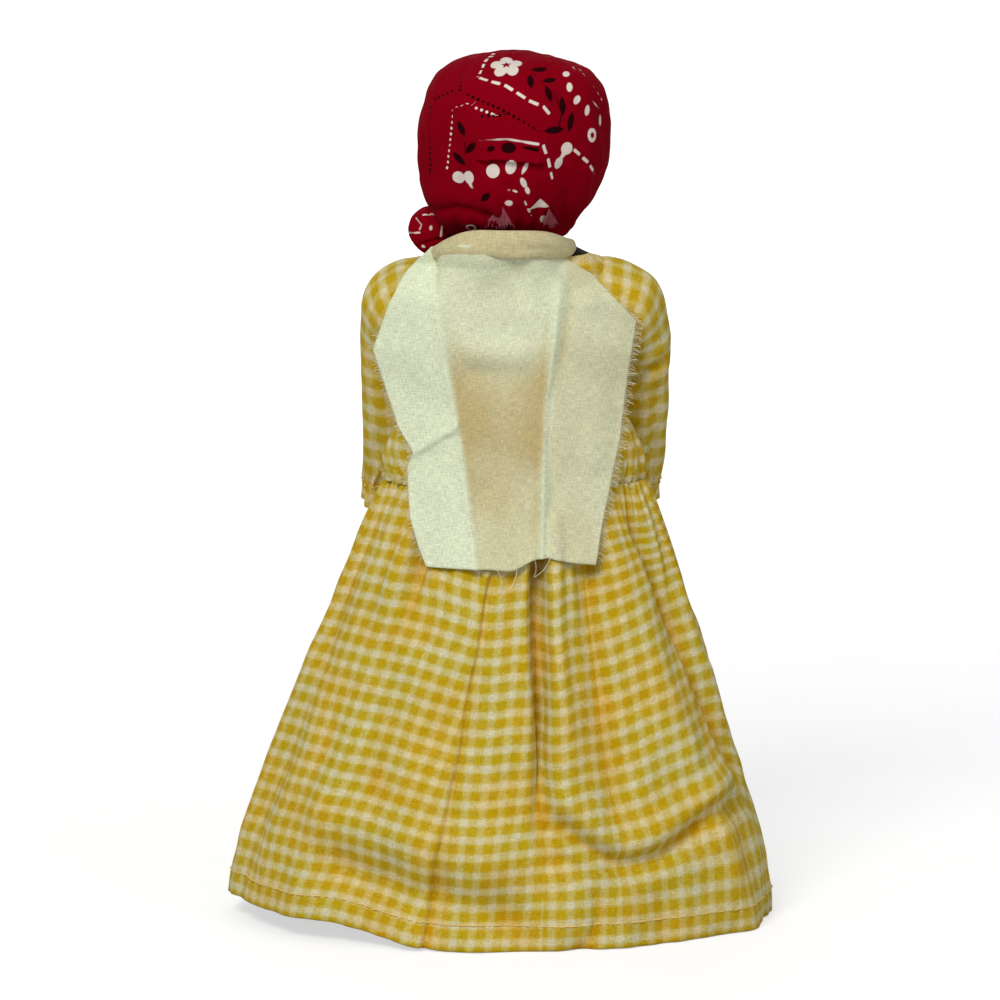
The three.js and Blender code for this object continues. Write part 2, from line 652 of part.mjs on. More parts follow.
// A closed tube through rings that meet again at the start.
function closedTube(rings) {
  const sides = rings[0].length;
  const index = [];
  const corner = (ring, side) => (ring % rings.length) * sides + (side % sides);
  for (let r = 0; r < rings.length; r++) {
    for (let s = 0; s < sides; s++) {
      index.push(corner(r, s), corner(r + 1, s), corner(r + 1, s + 1));
      index.push(corner(r, s), corner(r + 1, s + 1), corner(r, s + 1));
    }
  }
  return new THREE.BufferGeometry().setFromPoints(rings.flat()).setIndex(index);
}

function collar(grow = 0) {
  const stops = 24;
  const rings = Array.from({ length: stops }, (_, i) => collarRing((i / stops) * 2 * Math.PI, grow));
  return toSolid(closedTube(rings));
}

// The back panel: a sheet from under the collar, out to a point over each arm, then in to the hem.
function shawlHalfWidth(drop) {
  const { lerp, mapLinear } = THREE.MathUtils;
  if (drop < SHAWL_POINT_DROP) {
    return lerp(SHAWL_TOP_HALF_WIDTH, SHAWL_POINT_HALF_WIDTH, drop / SHAWL_POINT_DROP);
  }
  return mapLinear(drop, SHAWL_POINT_DROP, SHAWL_LENGTH, SHAWL_POINT_HALF_WIDTH, SHAWL_HEM_HALF_WIDTH);
}

function shawlPanel() {
  const columns = 8;
  const rows = 12;
  const collarBack = kerchiefRadiusAt(COLLAR_Z + COLLAR_HALF_HEIGHT) + COLLAR_CLEARANCE + COLLAR_HALF_THICKNESS;
  const sagitta = collarBack - Math.sqrt(collarBack ** 2 - SHAWL_TOP_HALF_WIDTH ** 2);
  const hemBack = skirtBackAt(COLLAR_Z - SHAWL_LENGTH) + SHAWL_STAND_OFF;
  const hanging = new THREE.SplineCurve([
    new THREE.Vector2(collarBack - CLOTH, 0),
    new THREE.Vector2(CHEST_HALF_DEPTH + SHAWL_BACK_CLEARANCE, 0.15 * SHAWL_LENGTH),
    new THREE.Vector2(CHEST_HALF_DEPTH + 1.6 * SHAWL_BACK_CLEARANCE, SHAWL_POINT_DROP),
    new THREE.Vector2(WAIST_HALF_DEPTH + SHAWL_BACK_CLEARANCE, COLLAR_Z - WAIST_HEIGHT),
    new THREE.Vector2(hemBack, SHAWL_LENGTH),
  ]);
  const across = (share, out) => {
    const { x: back, y: drop } = hanging.getPoint(share);
    const half = shawlHalfWidth(drop);
    const bend = THREE.MathUtils.lerp(sagitta, SHAWL_CURL, Math.min(1, drop / SHAWL_POINT_DROP));
    const edge = (x) => new THREE.Vector3(x, back - bend * (x / half) ** 2 + out, COLLAR_Z - drop);
    return Array.from({ length: columns + 1 }, (_, i) => edge(-half + (2 * half * i) / columns));
  };
  const sheet = (out) => Array.from({ length: rows + 1 }, (_, i) => across(1 - i / rows, out));
  return toSolid(sheetBetween(sheet(0), sheet(CLOTH)));
}

// A closed sheet between two grids of points, whose rows run up and whose columns run along +X.
function sheetBetween(front, back) {
  const rows = front.length;
  const columns = front[0].length;
  const index = [];
  const f = (r, c) => r * columns + c;
  const b = (r, c) => rows * columns + f(r, c);
  const quad = (p, q, s, t) => index.push(p, q, s, p, s, t);
  for (let r = 0; r + 1 < rows; r++) {
    for (let c = 0; c + 1 < columns; c++) {
      quad(f(r, c), f(r, c + 1), f(r + 1, c + 1), f(r + 1, c));
      quad(b(r, c), b(r + 1, c), b(r + 1, c + 1), b(r, c + 1));
    }
    quad(b(r, 0), f(r, 0), f(r + 1, 0), b(r + 1, 0));
    quad(f(r, columns - 1), b(r, columns - 1), b(r + 1, columns - 1), f(r + 1, columns - 1));
  }
  for (let c = 0; c + 1 < columns; c++) {
    quad(b(0, c), b(0, c + 1), f(0, c + 1), f(0, c));
    quad(f(rows - 1, c), f(rows - 1, c + 1), b(rows - 1, c + 1), b(rows - 1, c));
  }
  const points = [...front.flat(), ...back.flat()];
  return new THREE.BufferGeometry().setFromPoints(points).setIndex(index);
}

function skirtBackAt(z) {
  const share = 1 - z / WAIST_HEIGHT;
  const ring = skirtRing(share, 0);
  return Math.max(...ring.map((p) => p.y));
}

// Everything that the shawl lies on, a gap larger than it is. An arm's cap is round about its axis.
function underShawl() {
  const cap = new THREE.CylinderGeometry(1, 1, 1, LIMB_SIDES).rotateZ(Math.PI / 2);
  const radius = SLEEVE_CAP_RADIUS + 2 * GAP;
  cap.scale(2 * (SHOULDER_HALF_WIDTH + SLEEVE_CAP_WIDTH + PAST), radius, radius);
  cap.translate(0, 0, SHOULDER_Z);
  return sewnForm(bodiceSections(), { grow: GAP, below: GAP, above: GAP })
    .add(toSolid(cap))
    .add(skirtSolid(GAP, GAP).translate([-BODY_OFFSET, 0, 0]));
}

function shawl() {
  return collar().add(shawlPanel()).subtract(underShawl()).subtract(knotSweep());
}

// The two front corners, tied over the breast in a flat knot with short ends.
function shawlKnot() {
  const r = SHAWL_KNOT_RADIUS;
  const ball = turned([
    [0, -0.8 * r],
    [0.7 * r, -0.6 * r],
    [r, 0],
    [0.7 * r, 0.6 * r],
    [0, 0.8 * r],
  ]).scale(1, 0.7, 1);
  const corner = new THREE.Shape();
  corner.moveTo(-0.3 * r, 0);
  corner.lineTo(0.3 * r, 0);
  corner.lineTo(1.1 * r, -3.4 * r);
  corner.lineTo(-0.4 * r, -2.9 * r);
  corner.closePath();
  const ends = [-1, 1].map((side) => {
    const end = flatOutline(corner, -CLOTH, CLOTH, 2).rotateZ(side < 0 ? Math.PI : 0);
    return toSolid(end.rotateY(-0.22 * side).rotateX(0.05));
  });
  const tied = ends.reduce((whole, end) => whole.add(end), toSolid(ball));
  const front = collarRing(-Math.PI / 2, 0);
  const seat = front.reduce((least, p) => (p.y < least.y ? p : least));
  return tied
    .translate([0, seat.y - 0.7 * r, seat.z])
    .subtract(collar(GAP))
    .subtract(sewnForm(bodiceSections(), { grow: GAP, below: GAP, above: GAP }));
}

// Assembly

function cloth(colour) {
  return new THREE.MeshStandardMaterial({ color: colour, roughness: 0.92, metalness: 0 });
}

function piece(name, solid, colour) {
  const mesh = new THREE.Mesh(toGeometry(solid), cloth(colour));
  mesh.name = name;
  return mesh;
}

// A piece of the doll's right side is the left one in a mirror.
function mirrored(solid) {
  return solid.mirror([1, 0, 0]);
}

function groupAt(x, y, z, pieces) {
  const group = new THREE.Group();
  group.position.set(x, y, z);
  group.add(...pieces);
  return group;
}

function limbs(side) {
  const label = side > 0 ? "left" : "right";
  const turn = (solid) => (side > 0 ? solid : mirrored(solid));
  const arm = groupAt(side * SHOULDER_HALF_WIDTH, 0, SHOULDER_Z, [
    piece(`arm_cover_${label}`, turn(armCover()), COLOURS.skin),
    piece(`arm_stuffing_${label}`, turn(armStuffing()), COLOURS.wadding),
    piece(`sleeve_${label}`, turn(sleeve()), COLOURS.gingham),
    piece(`wrist_thread_${label}`, turn(wristThread()), COLOURS.thread),
  ]);
  arm.rotation.x = -THREE.MathUtils.degToRad(ARM_REST_SWING);
  const leg = groupAt((side * LEG_SPACING) / 2, 0, HIP_Z, [
    piece(`leg_cover_${label}`, turn(legCover()), COLOURS.skin),
    piece(`leg_stuffing_${label}`, turn(legStuffing()), COLOURS.wadding),
  ]);
  return [arm, leg];
}

const body = groupAt(BODY_OFFSET, 0, 0, [
  piece("torso_cover", torsoCover(), COLOURS.skin),
  piece("torso_stuffing", torsoStuffing(), COLOURS.wadding),
  piece("head_cover", headCover(), COLOURS.skin),
  piece("head_stuffing", headStuffing(), COLOURS.wadding),
  piece("eye_left", eye(1), COLOURS.embroidery),
  piece("eye_right", eye(-1), COLOURS.embroidery),
  piece("mouth", mouth(), COLOURS.embroidery),
  piece("kerchief", kerchief(), COLOURS.kerchief),
  piece("kerchief_knot", kerchiefKnot(), COLOURS.kerchief),
  piece("kerchief_tuft", kerchiefTuft(), COLOURS.kerchief),
  piece("bodice", bodice(), COLOURS.gingham),
  piece("shawl", shawl(), COLOURS.muslin),
  piece("shawl_knot", shawlKnot(), COLOURS.muslin),
  ...limbs(1),
  ...limbs(-1),
]);

const doll = new THREE.Group();
doll.name = "cloth_doll";
doll.add(body, piece("skirt", skirt(), COLOURS.gingham));

export default doll;
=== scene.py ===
"""Looks of a stuffed cloth doll in a check dress, a printed kerchief and a raw-edged shawl.

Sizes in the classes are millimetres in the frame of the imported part: +Z is up, the doll faces -Y and its own
left is +X. Meshes are written in metres.
"""

import json
import logging
import math
from dataclasses import dataclass, field
from enum import Enum
from typing import Callable, Optional, Sequence, Union

import bmesh
import bpy
import numpy as np
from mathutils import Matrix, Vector
from mathutils.bvhtree import BVHTree


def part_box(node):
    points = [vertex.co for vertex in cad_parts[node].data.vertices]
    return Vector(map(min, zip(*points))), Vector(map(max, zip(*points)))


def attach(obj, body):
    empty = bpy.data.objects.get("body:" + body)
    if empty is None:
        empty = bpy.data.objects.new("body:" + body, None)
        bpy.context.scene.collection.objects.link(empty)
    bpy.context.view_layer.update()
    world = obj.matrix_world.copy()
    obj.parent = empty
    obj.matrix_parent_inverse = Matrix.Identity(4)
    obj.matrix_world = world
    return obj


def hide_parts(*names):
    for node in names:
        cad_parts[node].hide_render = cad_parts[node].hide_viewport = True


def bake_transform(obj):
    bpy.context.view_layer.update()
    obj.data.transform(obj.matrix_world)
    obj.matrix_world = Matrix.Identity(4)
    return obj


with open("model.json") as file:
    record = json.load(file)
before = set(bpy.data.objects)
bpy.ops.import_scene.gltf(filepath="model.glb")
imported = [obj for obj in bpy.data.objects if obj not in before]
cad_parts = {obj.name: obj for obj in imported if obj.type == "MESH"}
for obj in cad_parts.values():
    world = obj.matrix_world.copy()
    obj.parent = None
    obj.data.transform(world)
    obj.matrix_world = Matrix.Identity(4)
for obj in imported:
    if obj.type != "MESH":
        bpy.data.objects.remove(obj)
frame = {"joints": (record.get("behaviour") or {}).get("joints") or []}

LOG = logging.getLogger("cloth_doll")
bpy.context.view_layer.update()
MM = 0.001
PIVOTS = {joint["name"]: 1000 * np.array(joint["pos_m"]) for joint in frame["joints"]}
BODY_X = float(PIVOTS["neck_turn"][0])
NECK_Z = float(PIVOTS["neck_turn"][2])
SHOULDER_Z = float(PIVOTS["shoulder_left"][2])
SHOULDER_X = float(PIVOTS["shoulder_left"][0]) - BODY_X
WAIST_Z = 1000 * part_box("bodice")[0].z

Array = np.ndarray
Colour = tuple[float, float, float]
Curve = Sequence[tuple[float, float]]
Outline = Callable[[Array, Array], Array]
Piece = bpy.types.Object
Material = bpy.types.Material
NodeTree = bpy.types.NodeTree
Outlet = bpy.types.NodeSocket
Socket = Union[Outlet, float, tuple]


class Side(Enum):
    """The doll's own sides, with the sign of X on each."""

    LEFT = 1
    RIGHT = -1

    @property
    def label(self) -> str:
        """The word that ends the names of this side's nodes."""
        return self.name.lower()


# Shapes of curves and folds


def srgb(red: int, green: int, blue: int) -> Colour:
    """Turns a colour as it is seen, 0 to 255, into the linear values that shaders take.

    Args:
        red: red part.
        green: green part.
        blue: blue part.

    Returns:
        The linear colour.
    """
    shares = (np.array([red, green, blue]) / 255.0).tolist()
    return tuple(s / 12.92 if s <= 0.04045 else ((s + 0.055) / 1.055) ** 2.4 for s in shares)


def ease(x: Array, start: float = 0.0, end: float = 1.0) -> Array:
    """Rises smoothly from 0 at start to 1 at end.

    Args:
        x: where to look.
        start: last place with the value 0.
        end: first place with the value 1.

    Returns:
        Values from 0 to 1.
    """
    share = np.clip((np.asarray(x, float) - start) / (end - start), 0.0, 1.0)
    return share * share * (3.0 - 2.0 * share)


def bell(x: Array, width: float) -> Array:
    """A round hump of height 1 about 0, of the given half width."""
    return np.exp(-((np.asarray(x, float) / width) ** 2))


def spline(knots: Curve, x: Array) -> Array:
    """A smooth curve through points that run upwards, with no overshoot between them.

    Args:
        knots: points of (place, value).
        x: where to look.

    Returns:
        The curve's values.
    """
    places, values = np.array(sorted(knots), float).T
    steps = np.diff(values) / np.diff(places)
    slopes = np.concatenate([steps[:1], (steps[:-1] + steps[1:]) / 2, steps[-1:]])
    turning = steps[:-1] * steps[1:] <= 0
    slopes[1:-1][turning] = 0.0
    limit = 3 * np.minimum(np.abs(np.append(steps, steps[-1])), np.abs(np.insert(steps, 0, steps[0])))
    slopes = np.clip(slopes, -limit, limit)
    x = np.clip(np.asarray(x, float), places[0], places[-1])
    i = np.clip(np.searchsorted(places, x) - 1, 0, len(places) - 2)
    gap = places[i + 1] - places[i]
    s = (x - places[i]) / gap
    start = (1 + 2 * s) * (1 - s) ** 2 * values[i] + s * (1 - s) ** 2 * gap * slopes[i]
    return start + s * s * (3 - 2 * s) * values[i + 1] + s * s * (s - 1) * gap * slopes[i + 1]


@dataclass(frozen=True)
class Ripple:
    """Uneven small waves in space, the same on each run.

    Attributes:
        seed: picks one of many such patterns.
        short: shortest wave.
        long: longest wave.
        stretch: how much slower the pattern changes along X, Y and Z.
        waves: how many waves are added up.
    """

    seed: int
    short: float
    long: float
    stretch: Colour = (1.0, 1.0, 1.0)
    waves: int = 14

    def at(self, points: Array) -> Array:
        """Looks the pattern up.

        Args:
            points: places, with X, Y and Z last.

        Returns:
            Heights of about -1 to 1.
        """
        rng = np.random.default_rng(self.seed)
        scaled = points / np.array(self.stretch)
        total = np.zeros(points.shape[:-1])
        for _ in range(self.waves):
            way = rng.normal(size=3)
            way /= np.linalg.norm(way) * rng.uniform(self.short, self.long)
            total += np.sin(2 * np.pi * (scaled @ way) + rng.uniform(0, 2 * np.pi))
        return total / math.sqrt(self.waves)


# Meshes


def normals_of(points: Array, wrap: bool = False) -> Array:
    """Directions square to a grid of points, outwards where rows run up and columns leftwards round.

    Args:
        points: rows and columns of places.
        wrap: whether the last column meets the first.

    Returns:
        A unit vector for each point.
    """
    if wrap:
        padded = np.concatenate([points[:, -1:], points, points[:, :1]], axis=1)
        along = np.gradient(padded, axis=1)[:, 1:-1]
    else:
        along = np.gradient(points, axis=1)
    square = np.cross(along, np.gradient(points, axis=0))
    return square / np.maximum(np.linalg.norm(square, axis=-1, keepdims=True), 1e-9)


def hollow_of(points: Array, reach: int, deep: float, wrap: bool = True) -> Array:
    """How far places lie in a fold, from their neighbours along each row.

    Args:
        points: places by row and column.
        reach: how many columns away the neighbours lie.
        deep: depth in millimetres of a place that counts in full.
        wrap: whether the last column meets the first.

    Returns:
        Values from 0, on top, to 1, deep in a fold.
    """
    padded = np.pad(points, ((0, 0), (reach, reach), (0, 0)), mode="wrap" if wrap else "edge")
    beside = (padded[:, : -2 * reach] + padded[:, 2 * reach:]) / 2
    sunk = np.einsum("ijk,ijk->ij", beside - points, normals_of(points, wrap))
    return ease(sunk, 0.0, deep)


def lengths(points: Array, axis: int) -> Array:
    """Distances run along rows or columns of points.

    Args:
        points: places, with X, Y and Z last.
        axis: 0 to run along each column, 1 along each row.

    Returns:
        A distance for each point, 0 at the first.
    """
    steps = np.linalg.norm(np.diff(points, axis=axis), axis=-1)
    return np.concatenate([np.zeros_like(steps.take([0], axis)), np.cumsum(steps, axis)], axis)


def sections_at(table: Sequence[Sequence[float]], z: Array) -> list[Array]:
    """Smooth curves through a table of level sections.

    Args:
        table: rows that start with their height.
        z: heights to look at.

    Returns:
        The values of each further column.
    """
    heights, *columns = np.array(table, float).T
    return [spline(list(zip(heights, column)), z) for column in columns]


def link_mesh(name: str, mesh: bpy.types.Mesh) -> Piece:
    """Puts a mesh into the scene as an object at the origin.

    Args:
        name: the object's name.
        mesh: its mesh.

    Returns:
        The new object.
    """
    made = bpy.data.objects.new(name, mesh)
    bpy.context.scene.collection.objects.link(made)
    return made


def mesh_of(name: str, points: Array, faces: Array, corners: Optional[Array] = None) -> Piece:
    """Makes an object from points in millimetres and faces with the same number of corners each.

    Args:
        name: the object's name.
        points: places, one to a row.
        faces: numbers of the points at each face's corners.
        corners: the cloth's own flat coordinates at each face's corners.

    Returns:
        The new object, shaded smooth.
    """
    mesh = bpy.data.meshes.new(name)
    mesh.vertices.add(len(points))
    mesh.vertices.foreach_set("co", (points * MM).astype(np.float32).ravel())
    mesh.loops.add(faces.size)
    mesh.loops.foreach_set("vertex_index", faces.astype(np.int32).ravel())
    mesh.polygons.add(len(faces))
    mesh.polygons.foreach_set("loop_start", np.arange(0, faces.size, faces.shape[1], dtype=np.int32))
    mesh.polygons.foreach_set("use_smooth", np.ones(len(faces), bool))
    if corners is not None:
        mesh.uv_layers.new(name="cloth").data.foreach_set("uv", corners.astype(np.float32).ravel())
    mesh.update(calc_edges=True)
    mesh.validate()
    return link_mesh(name, mesh)


def grid(name: str, points: Array, uv: Array, wrap: bool = False, keep: Optional[Array] = None,
         uv_right: Optional[Array] = None) -> Piece:
    """Makes a sheet from rows and columns of points.

    Args:
        name: the object's name.
        points: rows, from low to high, of columns that run leftwards round, seen from above.
        uv: flat coordinates at the points, with one more column than the points where the sheet wraps.
        wrap: whether the last column meets the first.
        keep: which faces are there, by row and column.
        uv_right: flat coordinates at each face's far column, where the cloth is cut between columns.

    Returns:
        The new object.
    """
    rows, columns = points.shape[:2]
    across = columns if wrap else columns - 1
    r, c = np.meshgrid(np.arange(rows - 1), np.arange(across), indexing="ij")
    right = (c + 1) % columns
    low, high = r * columns, (r + 1) * columns
    faces = np.stack([low + c, low + right, high + right, high + c], -1)
    near = uv if uv_right is not None else uv[:, :-1]
    far = uv_right if uv_right is not None else uv[:, 1:]
    corners = np.stack([near[r, c], far[r, c], far[r + 1, c], near[r + 1, c]], 2)
    if keep is not None:
        faces, corners = faces[keep], corners[keep]
    return mesh_of(name, points.reshape(-1, 3), faces.reshape(-1, 4), corners.reshape(-1, 2))


def tag(piece: Piece, name: str, values: Array) -> None:
    """Stores a number or a vector at each point of a piece, for its material or its node tree.

    Args:
        piece: the object.
        name: the attribute's name.
        values: one number or one vector for each point.
    """
    kind, key = ("FLOAT", "value") if values.ndim == 1 else ("FLOAT_VECTOR", "vector")
    piece.data.attributes.new(name, kind, "POINT").data.foreach_set(key, values.astype(np.float32).ravel())


def back_of(names: Sequence[str], x: Array, z: Array) -> Array:
    """How far back built pieces reach at places seen from straight behind.

    Args:
        names: the pieces.
        x: places across.
        z: heights.

    Returns:
        Y of the hindmost surface, or a large negative number beside the pieces.
    """
    reach = np.full(x.shape, -999.0)
    for name in names:
        mesh = bpy.data.objects[name].data
        tree = BVHTree.FromPolygons([v.co for v in mesh.vertices],
                                    [tuple(p.vertices) for p in mesh.polygons])
        for spot in np.ndindex(x.shape):
            hit = tree.ray_cast((x[spot] * MM, 0.3, z[spot] * MM), (0, -1, 0))[0]
            if hit is not None:
                reach[spot] = max(reach[spot], hit.y / MM)
    return reach


def dress(piece: Piece, material: Material, body: Optional[str], slot: str, *nodes: str) -> Piece:
    """Gives a piece its material and the body that it rides on, and hides the nodes that it stands for.

    Args:
        piece: the object.
        material: its finish.
        body: name of the CAD body, or none for a piece that lies across two bodies and is left on neither.
        slot: not used.
        *nodes: CAD nodes that the piece replaces.

    Returns:
        The same object.
    """
    piece.data.materials.clear()
    piece.data.materials.append(material)
    if body:
        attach(piece, body)
    if nodes:
        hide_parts(*nodes)
    LOG.info("%s: %d faces on %s", piece.name, len(piece.data.polygons), body)
    return piece


def thicken(piece: Piece, thickness: float) -> None:
    """Gives a sheet the thickness of its cloth, inwards from its face.

    Args:
        piece: the sheet.
        thickness: the cloth's thickness.
    """
    layer = piece.modifiers.new("cloth_thickness", "SOLIDIFY")
    layer.thickness = thickness * MM
    layer.offset = -1.0
    layer.use_even_offset = False


# Finishes


class Wiring:
    """Short ways to place and join nodes in one node tree."""

    def __init__(self, tree: NodeTree) -> None:
        """Takes the tree to build in."""
        self.tree = tree

    def node(self, kind: str, **settings: object) -> bpy.types.Node:
        """Places a node.

        Args:
            kind: the node's type.
            **settings: its properties.

        Returns:
            The new node.
        """
        made = self.tree.nodes.new(kind)
        for key, value in settings.items():
            setattr(made, key, value)
        return made

    def feed(self, socket: Outlet, value: Socket) -> None:
        """Joins a socket to another, or sets its value.

        Args:
            socket: the socket to fill.
            value: another node's socket, or a plain value.
        """
        if isinstance(value, Outlet):
            self.tree.links.new(value, socket)
        else:
            socket.default_value = value

    def math(self, operation: str, *values: Socket) -> Outlet:
        """Places a Math node.

        Args:
            operation: name of the operation.
            *values: its inputs, sockets or numbers.

        Returns:
            The result's socket.
        """
        made = self.node("ShaderNodeMath", operation=operation)
        for socket, value in zip(made.inputs, values):
            self.feed(socket, value)
        return made.outputs[0]

    def span(self, value: Socket, low: float, high: float, start: float = 0.0, end: float = 1.0) -> Outlet:
        """Maps a range smoothly onto another.

        Args:
            value: the number to map.
            low: where the range starts.
            high: where it ends.
            start: result at low.
            end: result at high.

        Returns:
            The result's socket.
        """
        made = self.node("ShaderNodeMapRange", interpolation_type="SMOOTHSTEP")
        for socket, number in zip(made.inputs, (value, low, high, start, end)):
            self.feed(socket, number)
        return made.outputs[0]

    def blend(self, share: Socket, first: Socket, second: Socket, way: str = "MIX") -> Outlet:
        """Mixes two colours.

        Args:
            share: how much of the second.
            first: one colour.
            second: the other.
            way: the blend type.

        Returns:
            The colour's socket.
        """
        made = self.node("ShaderNodeMix", data_type="RGBA", blend_type=way)
        self.feed(made.inputs[0], share)
        self.feed(made.inputs[6], first)
        self.feed(made.inputs[7], second)
        return made.outputs[2]

    def noise(self, place: Socket, scale: Socket, detail: float = 2.0) -> Outlet:
        """Places a noise.

        Args:
            place: where to look.
            scale: how fine it is.
            detail: how many finer layers it has.

        Returns:
            The socket of its value, 0 to 1.
        """
        made = self.node("ShaderNodeTexNoise")
        self.feed(made.inputs["Vector"], place)
        self.feed(made.inputs["Scale"], scale)
        made.inputs["Detail"].default_value = detail
        return made.outputs[0]

    def stretch(self, place: Socket, scale: Colour) -> Outlet:
        """Scales a place.

        Args:
            place: the place's socket.
            scale: factors along X, Y and Z.

        Returns:
            The result's socket.
        """
        made = self.node("ShaderNodeVectorMath", operation="MULTIPLY")
        self.feed(made.inputs[0], place)
        made.inputs[1].default_value = scale
        return made.outputs[0]

    def group(self, tree: NodeTree, **inputs: Socket) -> bpy.types.Node:
        """Places a shared group.

        Args:
            tree: the group.
            **inputs: its own values by socket.

        Returns:
            The group's node.
        """
        made = self.node("ShaderNodeGroup", node_tree=tree)
        for key, value in inputs.items():
            self.feed(made.inputs[key], value)
        return made


def rgba(colour: Colour) -> tuple[float, float, float, float]:
    """A colour with full alpha, as colour sockets take it."""
    return (*colour, 1.0)


class Effects:
    """The shader groups that several finishes share, each built once."""

    def __init__(self) -> None:
        """Builds the groups."""
        self.weave = self._weave()
        self.check = self._check()
        self.mottle = self._mottle()

    @staticmethod
    def _start(name: str, inputs: dict[str, str],
               outputs: dict[str, str]) -> tuple[Wiring, dict, bpy.types.Node]:
        """Opens a group with named sockets.

        Args:
            name: the group's name.
            inputs: socket kinds by name.
            outputs: socket kinds by name.

        Returns:
            The wiring, the input sockets by name and the output node.
        """
        tree = bpy.data.node_groups.new(name, "ShaderNodeTree")
        for names, way in ((inputs, "INPUT"), (outputs, "OUTPUT")):
            for key, kind in names.items():
                tree.interface.new_socket(key, in_out=way, socket_type=kind)
        wiring = Wiring(tree)
        entry = wiring.node("NodeGroupInput")
        return wiring, {s.name: s for s in entry.outputs if s.name}, wiring.node("NodeGroupOutput")

    def _weave(self) -> NodeTree:
        """Plain weave: the height of its threads, and streaks where threads are thicker or thinner.

        Returns:
            The shader group.
        """
        w, given, out = self._start(
            "plain_weave",
            {"Place": "NodeSocketVector", "Threads": "NodeSocketFloat", "Slub": "NodeSocketFloat"},
            {"Height": "NodeSocketFloat", "Shade": "NodeSocketFloat"},
        )
        split = w.node("ShaderNodeSeparateXYZ")
        w.feed(split.inputs[0], given["Place"])
        turns = w.math("MULTIPLY", given["Threads"], math.pi)
        warp = w.math("SINE", w.math("MULTIPLY", split.outputs[0], turns))
        weft = w.math("SINE", w.math("MULTIPLY", split.outputs[1], turns))
        over = w.math("MULTIPLY", warp, weft)
        upright = w.noise(w.stretch(given["Place"], (3.4, 0.42, 1.0)), 1.0, 3.0)
        level = w.noise(w.stretch(given["Place"], (0.34, 3.0, 1.0)), 1.0, 3.0)
        streak = w.math("ADD", w.math("SUBTRACT", upright, 0.5), w.math("SUBTRACT", level, 0.5))
        w.feed(out.inputs["Shade"], w.math("ADD", 1.0, w.math("MULTIPLY", streak, given["Slub"])))
        crossing = w.math("MULTIPLY", over, 0.5)
        w.feed(out.inputs["Height"], w.math("ADD", crossing, w.math("MULTIPLY", streak, 1.6)))
        return w.tree

    def _check(self) -> NodeTree:
        """A two-tone check: bands along both threads, strongest where they cross, and soft at their edges.

        Returns:
            The shader group.
        """
        w, given, out = self._start(
            "woven_check",
            {"Place": "NodeSocketVector", "Repeat": "NodeSocketFloat", "Light": "NodeSocketColor",
             "Middle": "NodeSocketColor", "Dark": "NodeSocketColor"},
            {"Color": "NodeSocketColor"},
        )
        fray = w.noise(w.stretch(given["Place"], (2.2, 2.2, 1.0)), 1.0, 2.0)
        warp = w.noise(w.stretch(given["Place"], (3.4, 0.7, 1.0)), 1.0, 2.0)
        weft = w.noise(w.stretch(given["Place"], (0.6, 3.2, 1.0)), 1.0, 2.0)
        fuzz = w.math("SUBTRACT", w.math("ADD", warp, weft), 1.0)
        split = w.node("ShaderNodeSeparateXYZ")
        w.feed(split.inputs[0], given["Place"])
        bands = []
        for number in (0, 1):
            along = w.math("DIVIDE", split.outputs[number], given["Repeat"])
            loose = w.math("ADD", along, w.math("MULTIPLY", w.math("SUBTRACT", fray, 0.5), 0.2))
            wave = w.math("ABSOLUTE", w.math("SUBTRACT", w.math("FRACT", loose), 0.5))
            bands.append(w.span(wave, 0.10, 0.34))
        both = w.math("ADD", w.math("MULTIPLY", bands[0], 0.38), w.math("MULTIPLY", bands[1], 0.62))
        wear = w.math("SUBTRACT", w.noise(w.stretch(given["Place"], (0.08, 0.11, 1.0)), 1.0, 2.0), 0.5)
        worn = w.math("ADD", both, w.math("MULTIPLY", wear, 0.5))
        one = w.math("ADD", worn, w.math("MULTIPLY", fuzz, 0.8))
        lower = w.blend(w.span(one, 0.0, 0.55), given["Light"], given["Middle"])
        w.feed(out.inputs["Color"], w.blend(w.span(one, 0.55, 1.0), lower, given["Dark"]))
        return w.tree

    def _mottle(self) -> NodeTree:
        """Slow uneven shade over a piece: handling, light soil and uneven dye.

        Returns:
            The shader group.
        """
        w, given, out = self._start(
            "handled_mottle",
            {"Place": "NodeSocketVector", "Amount": "NodeSocketFloat"},
            {"Shade": "NodeSocketFloat"},
        )
        broad = w.noise(given["Place"], 38.0, 2.0)
        fine = w.noise(given["Place"], 210.0, 3.0)
        both = w.math("ADD", w.math("MULTIPLY", broad, 0.65), w.math("MULTIPLY", fine, 0.35))
        uneven = w.math("MULTIPLY", w.math("SUBTRACT", both, 0.5), given["Amount"])
        w.feed(out.inputs["Shade"], w.math("ADD", 1.0, uneven))
        return w.tree


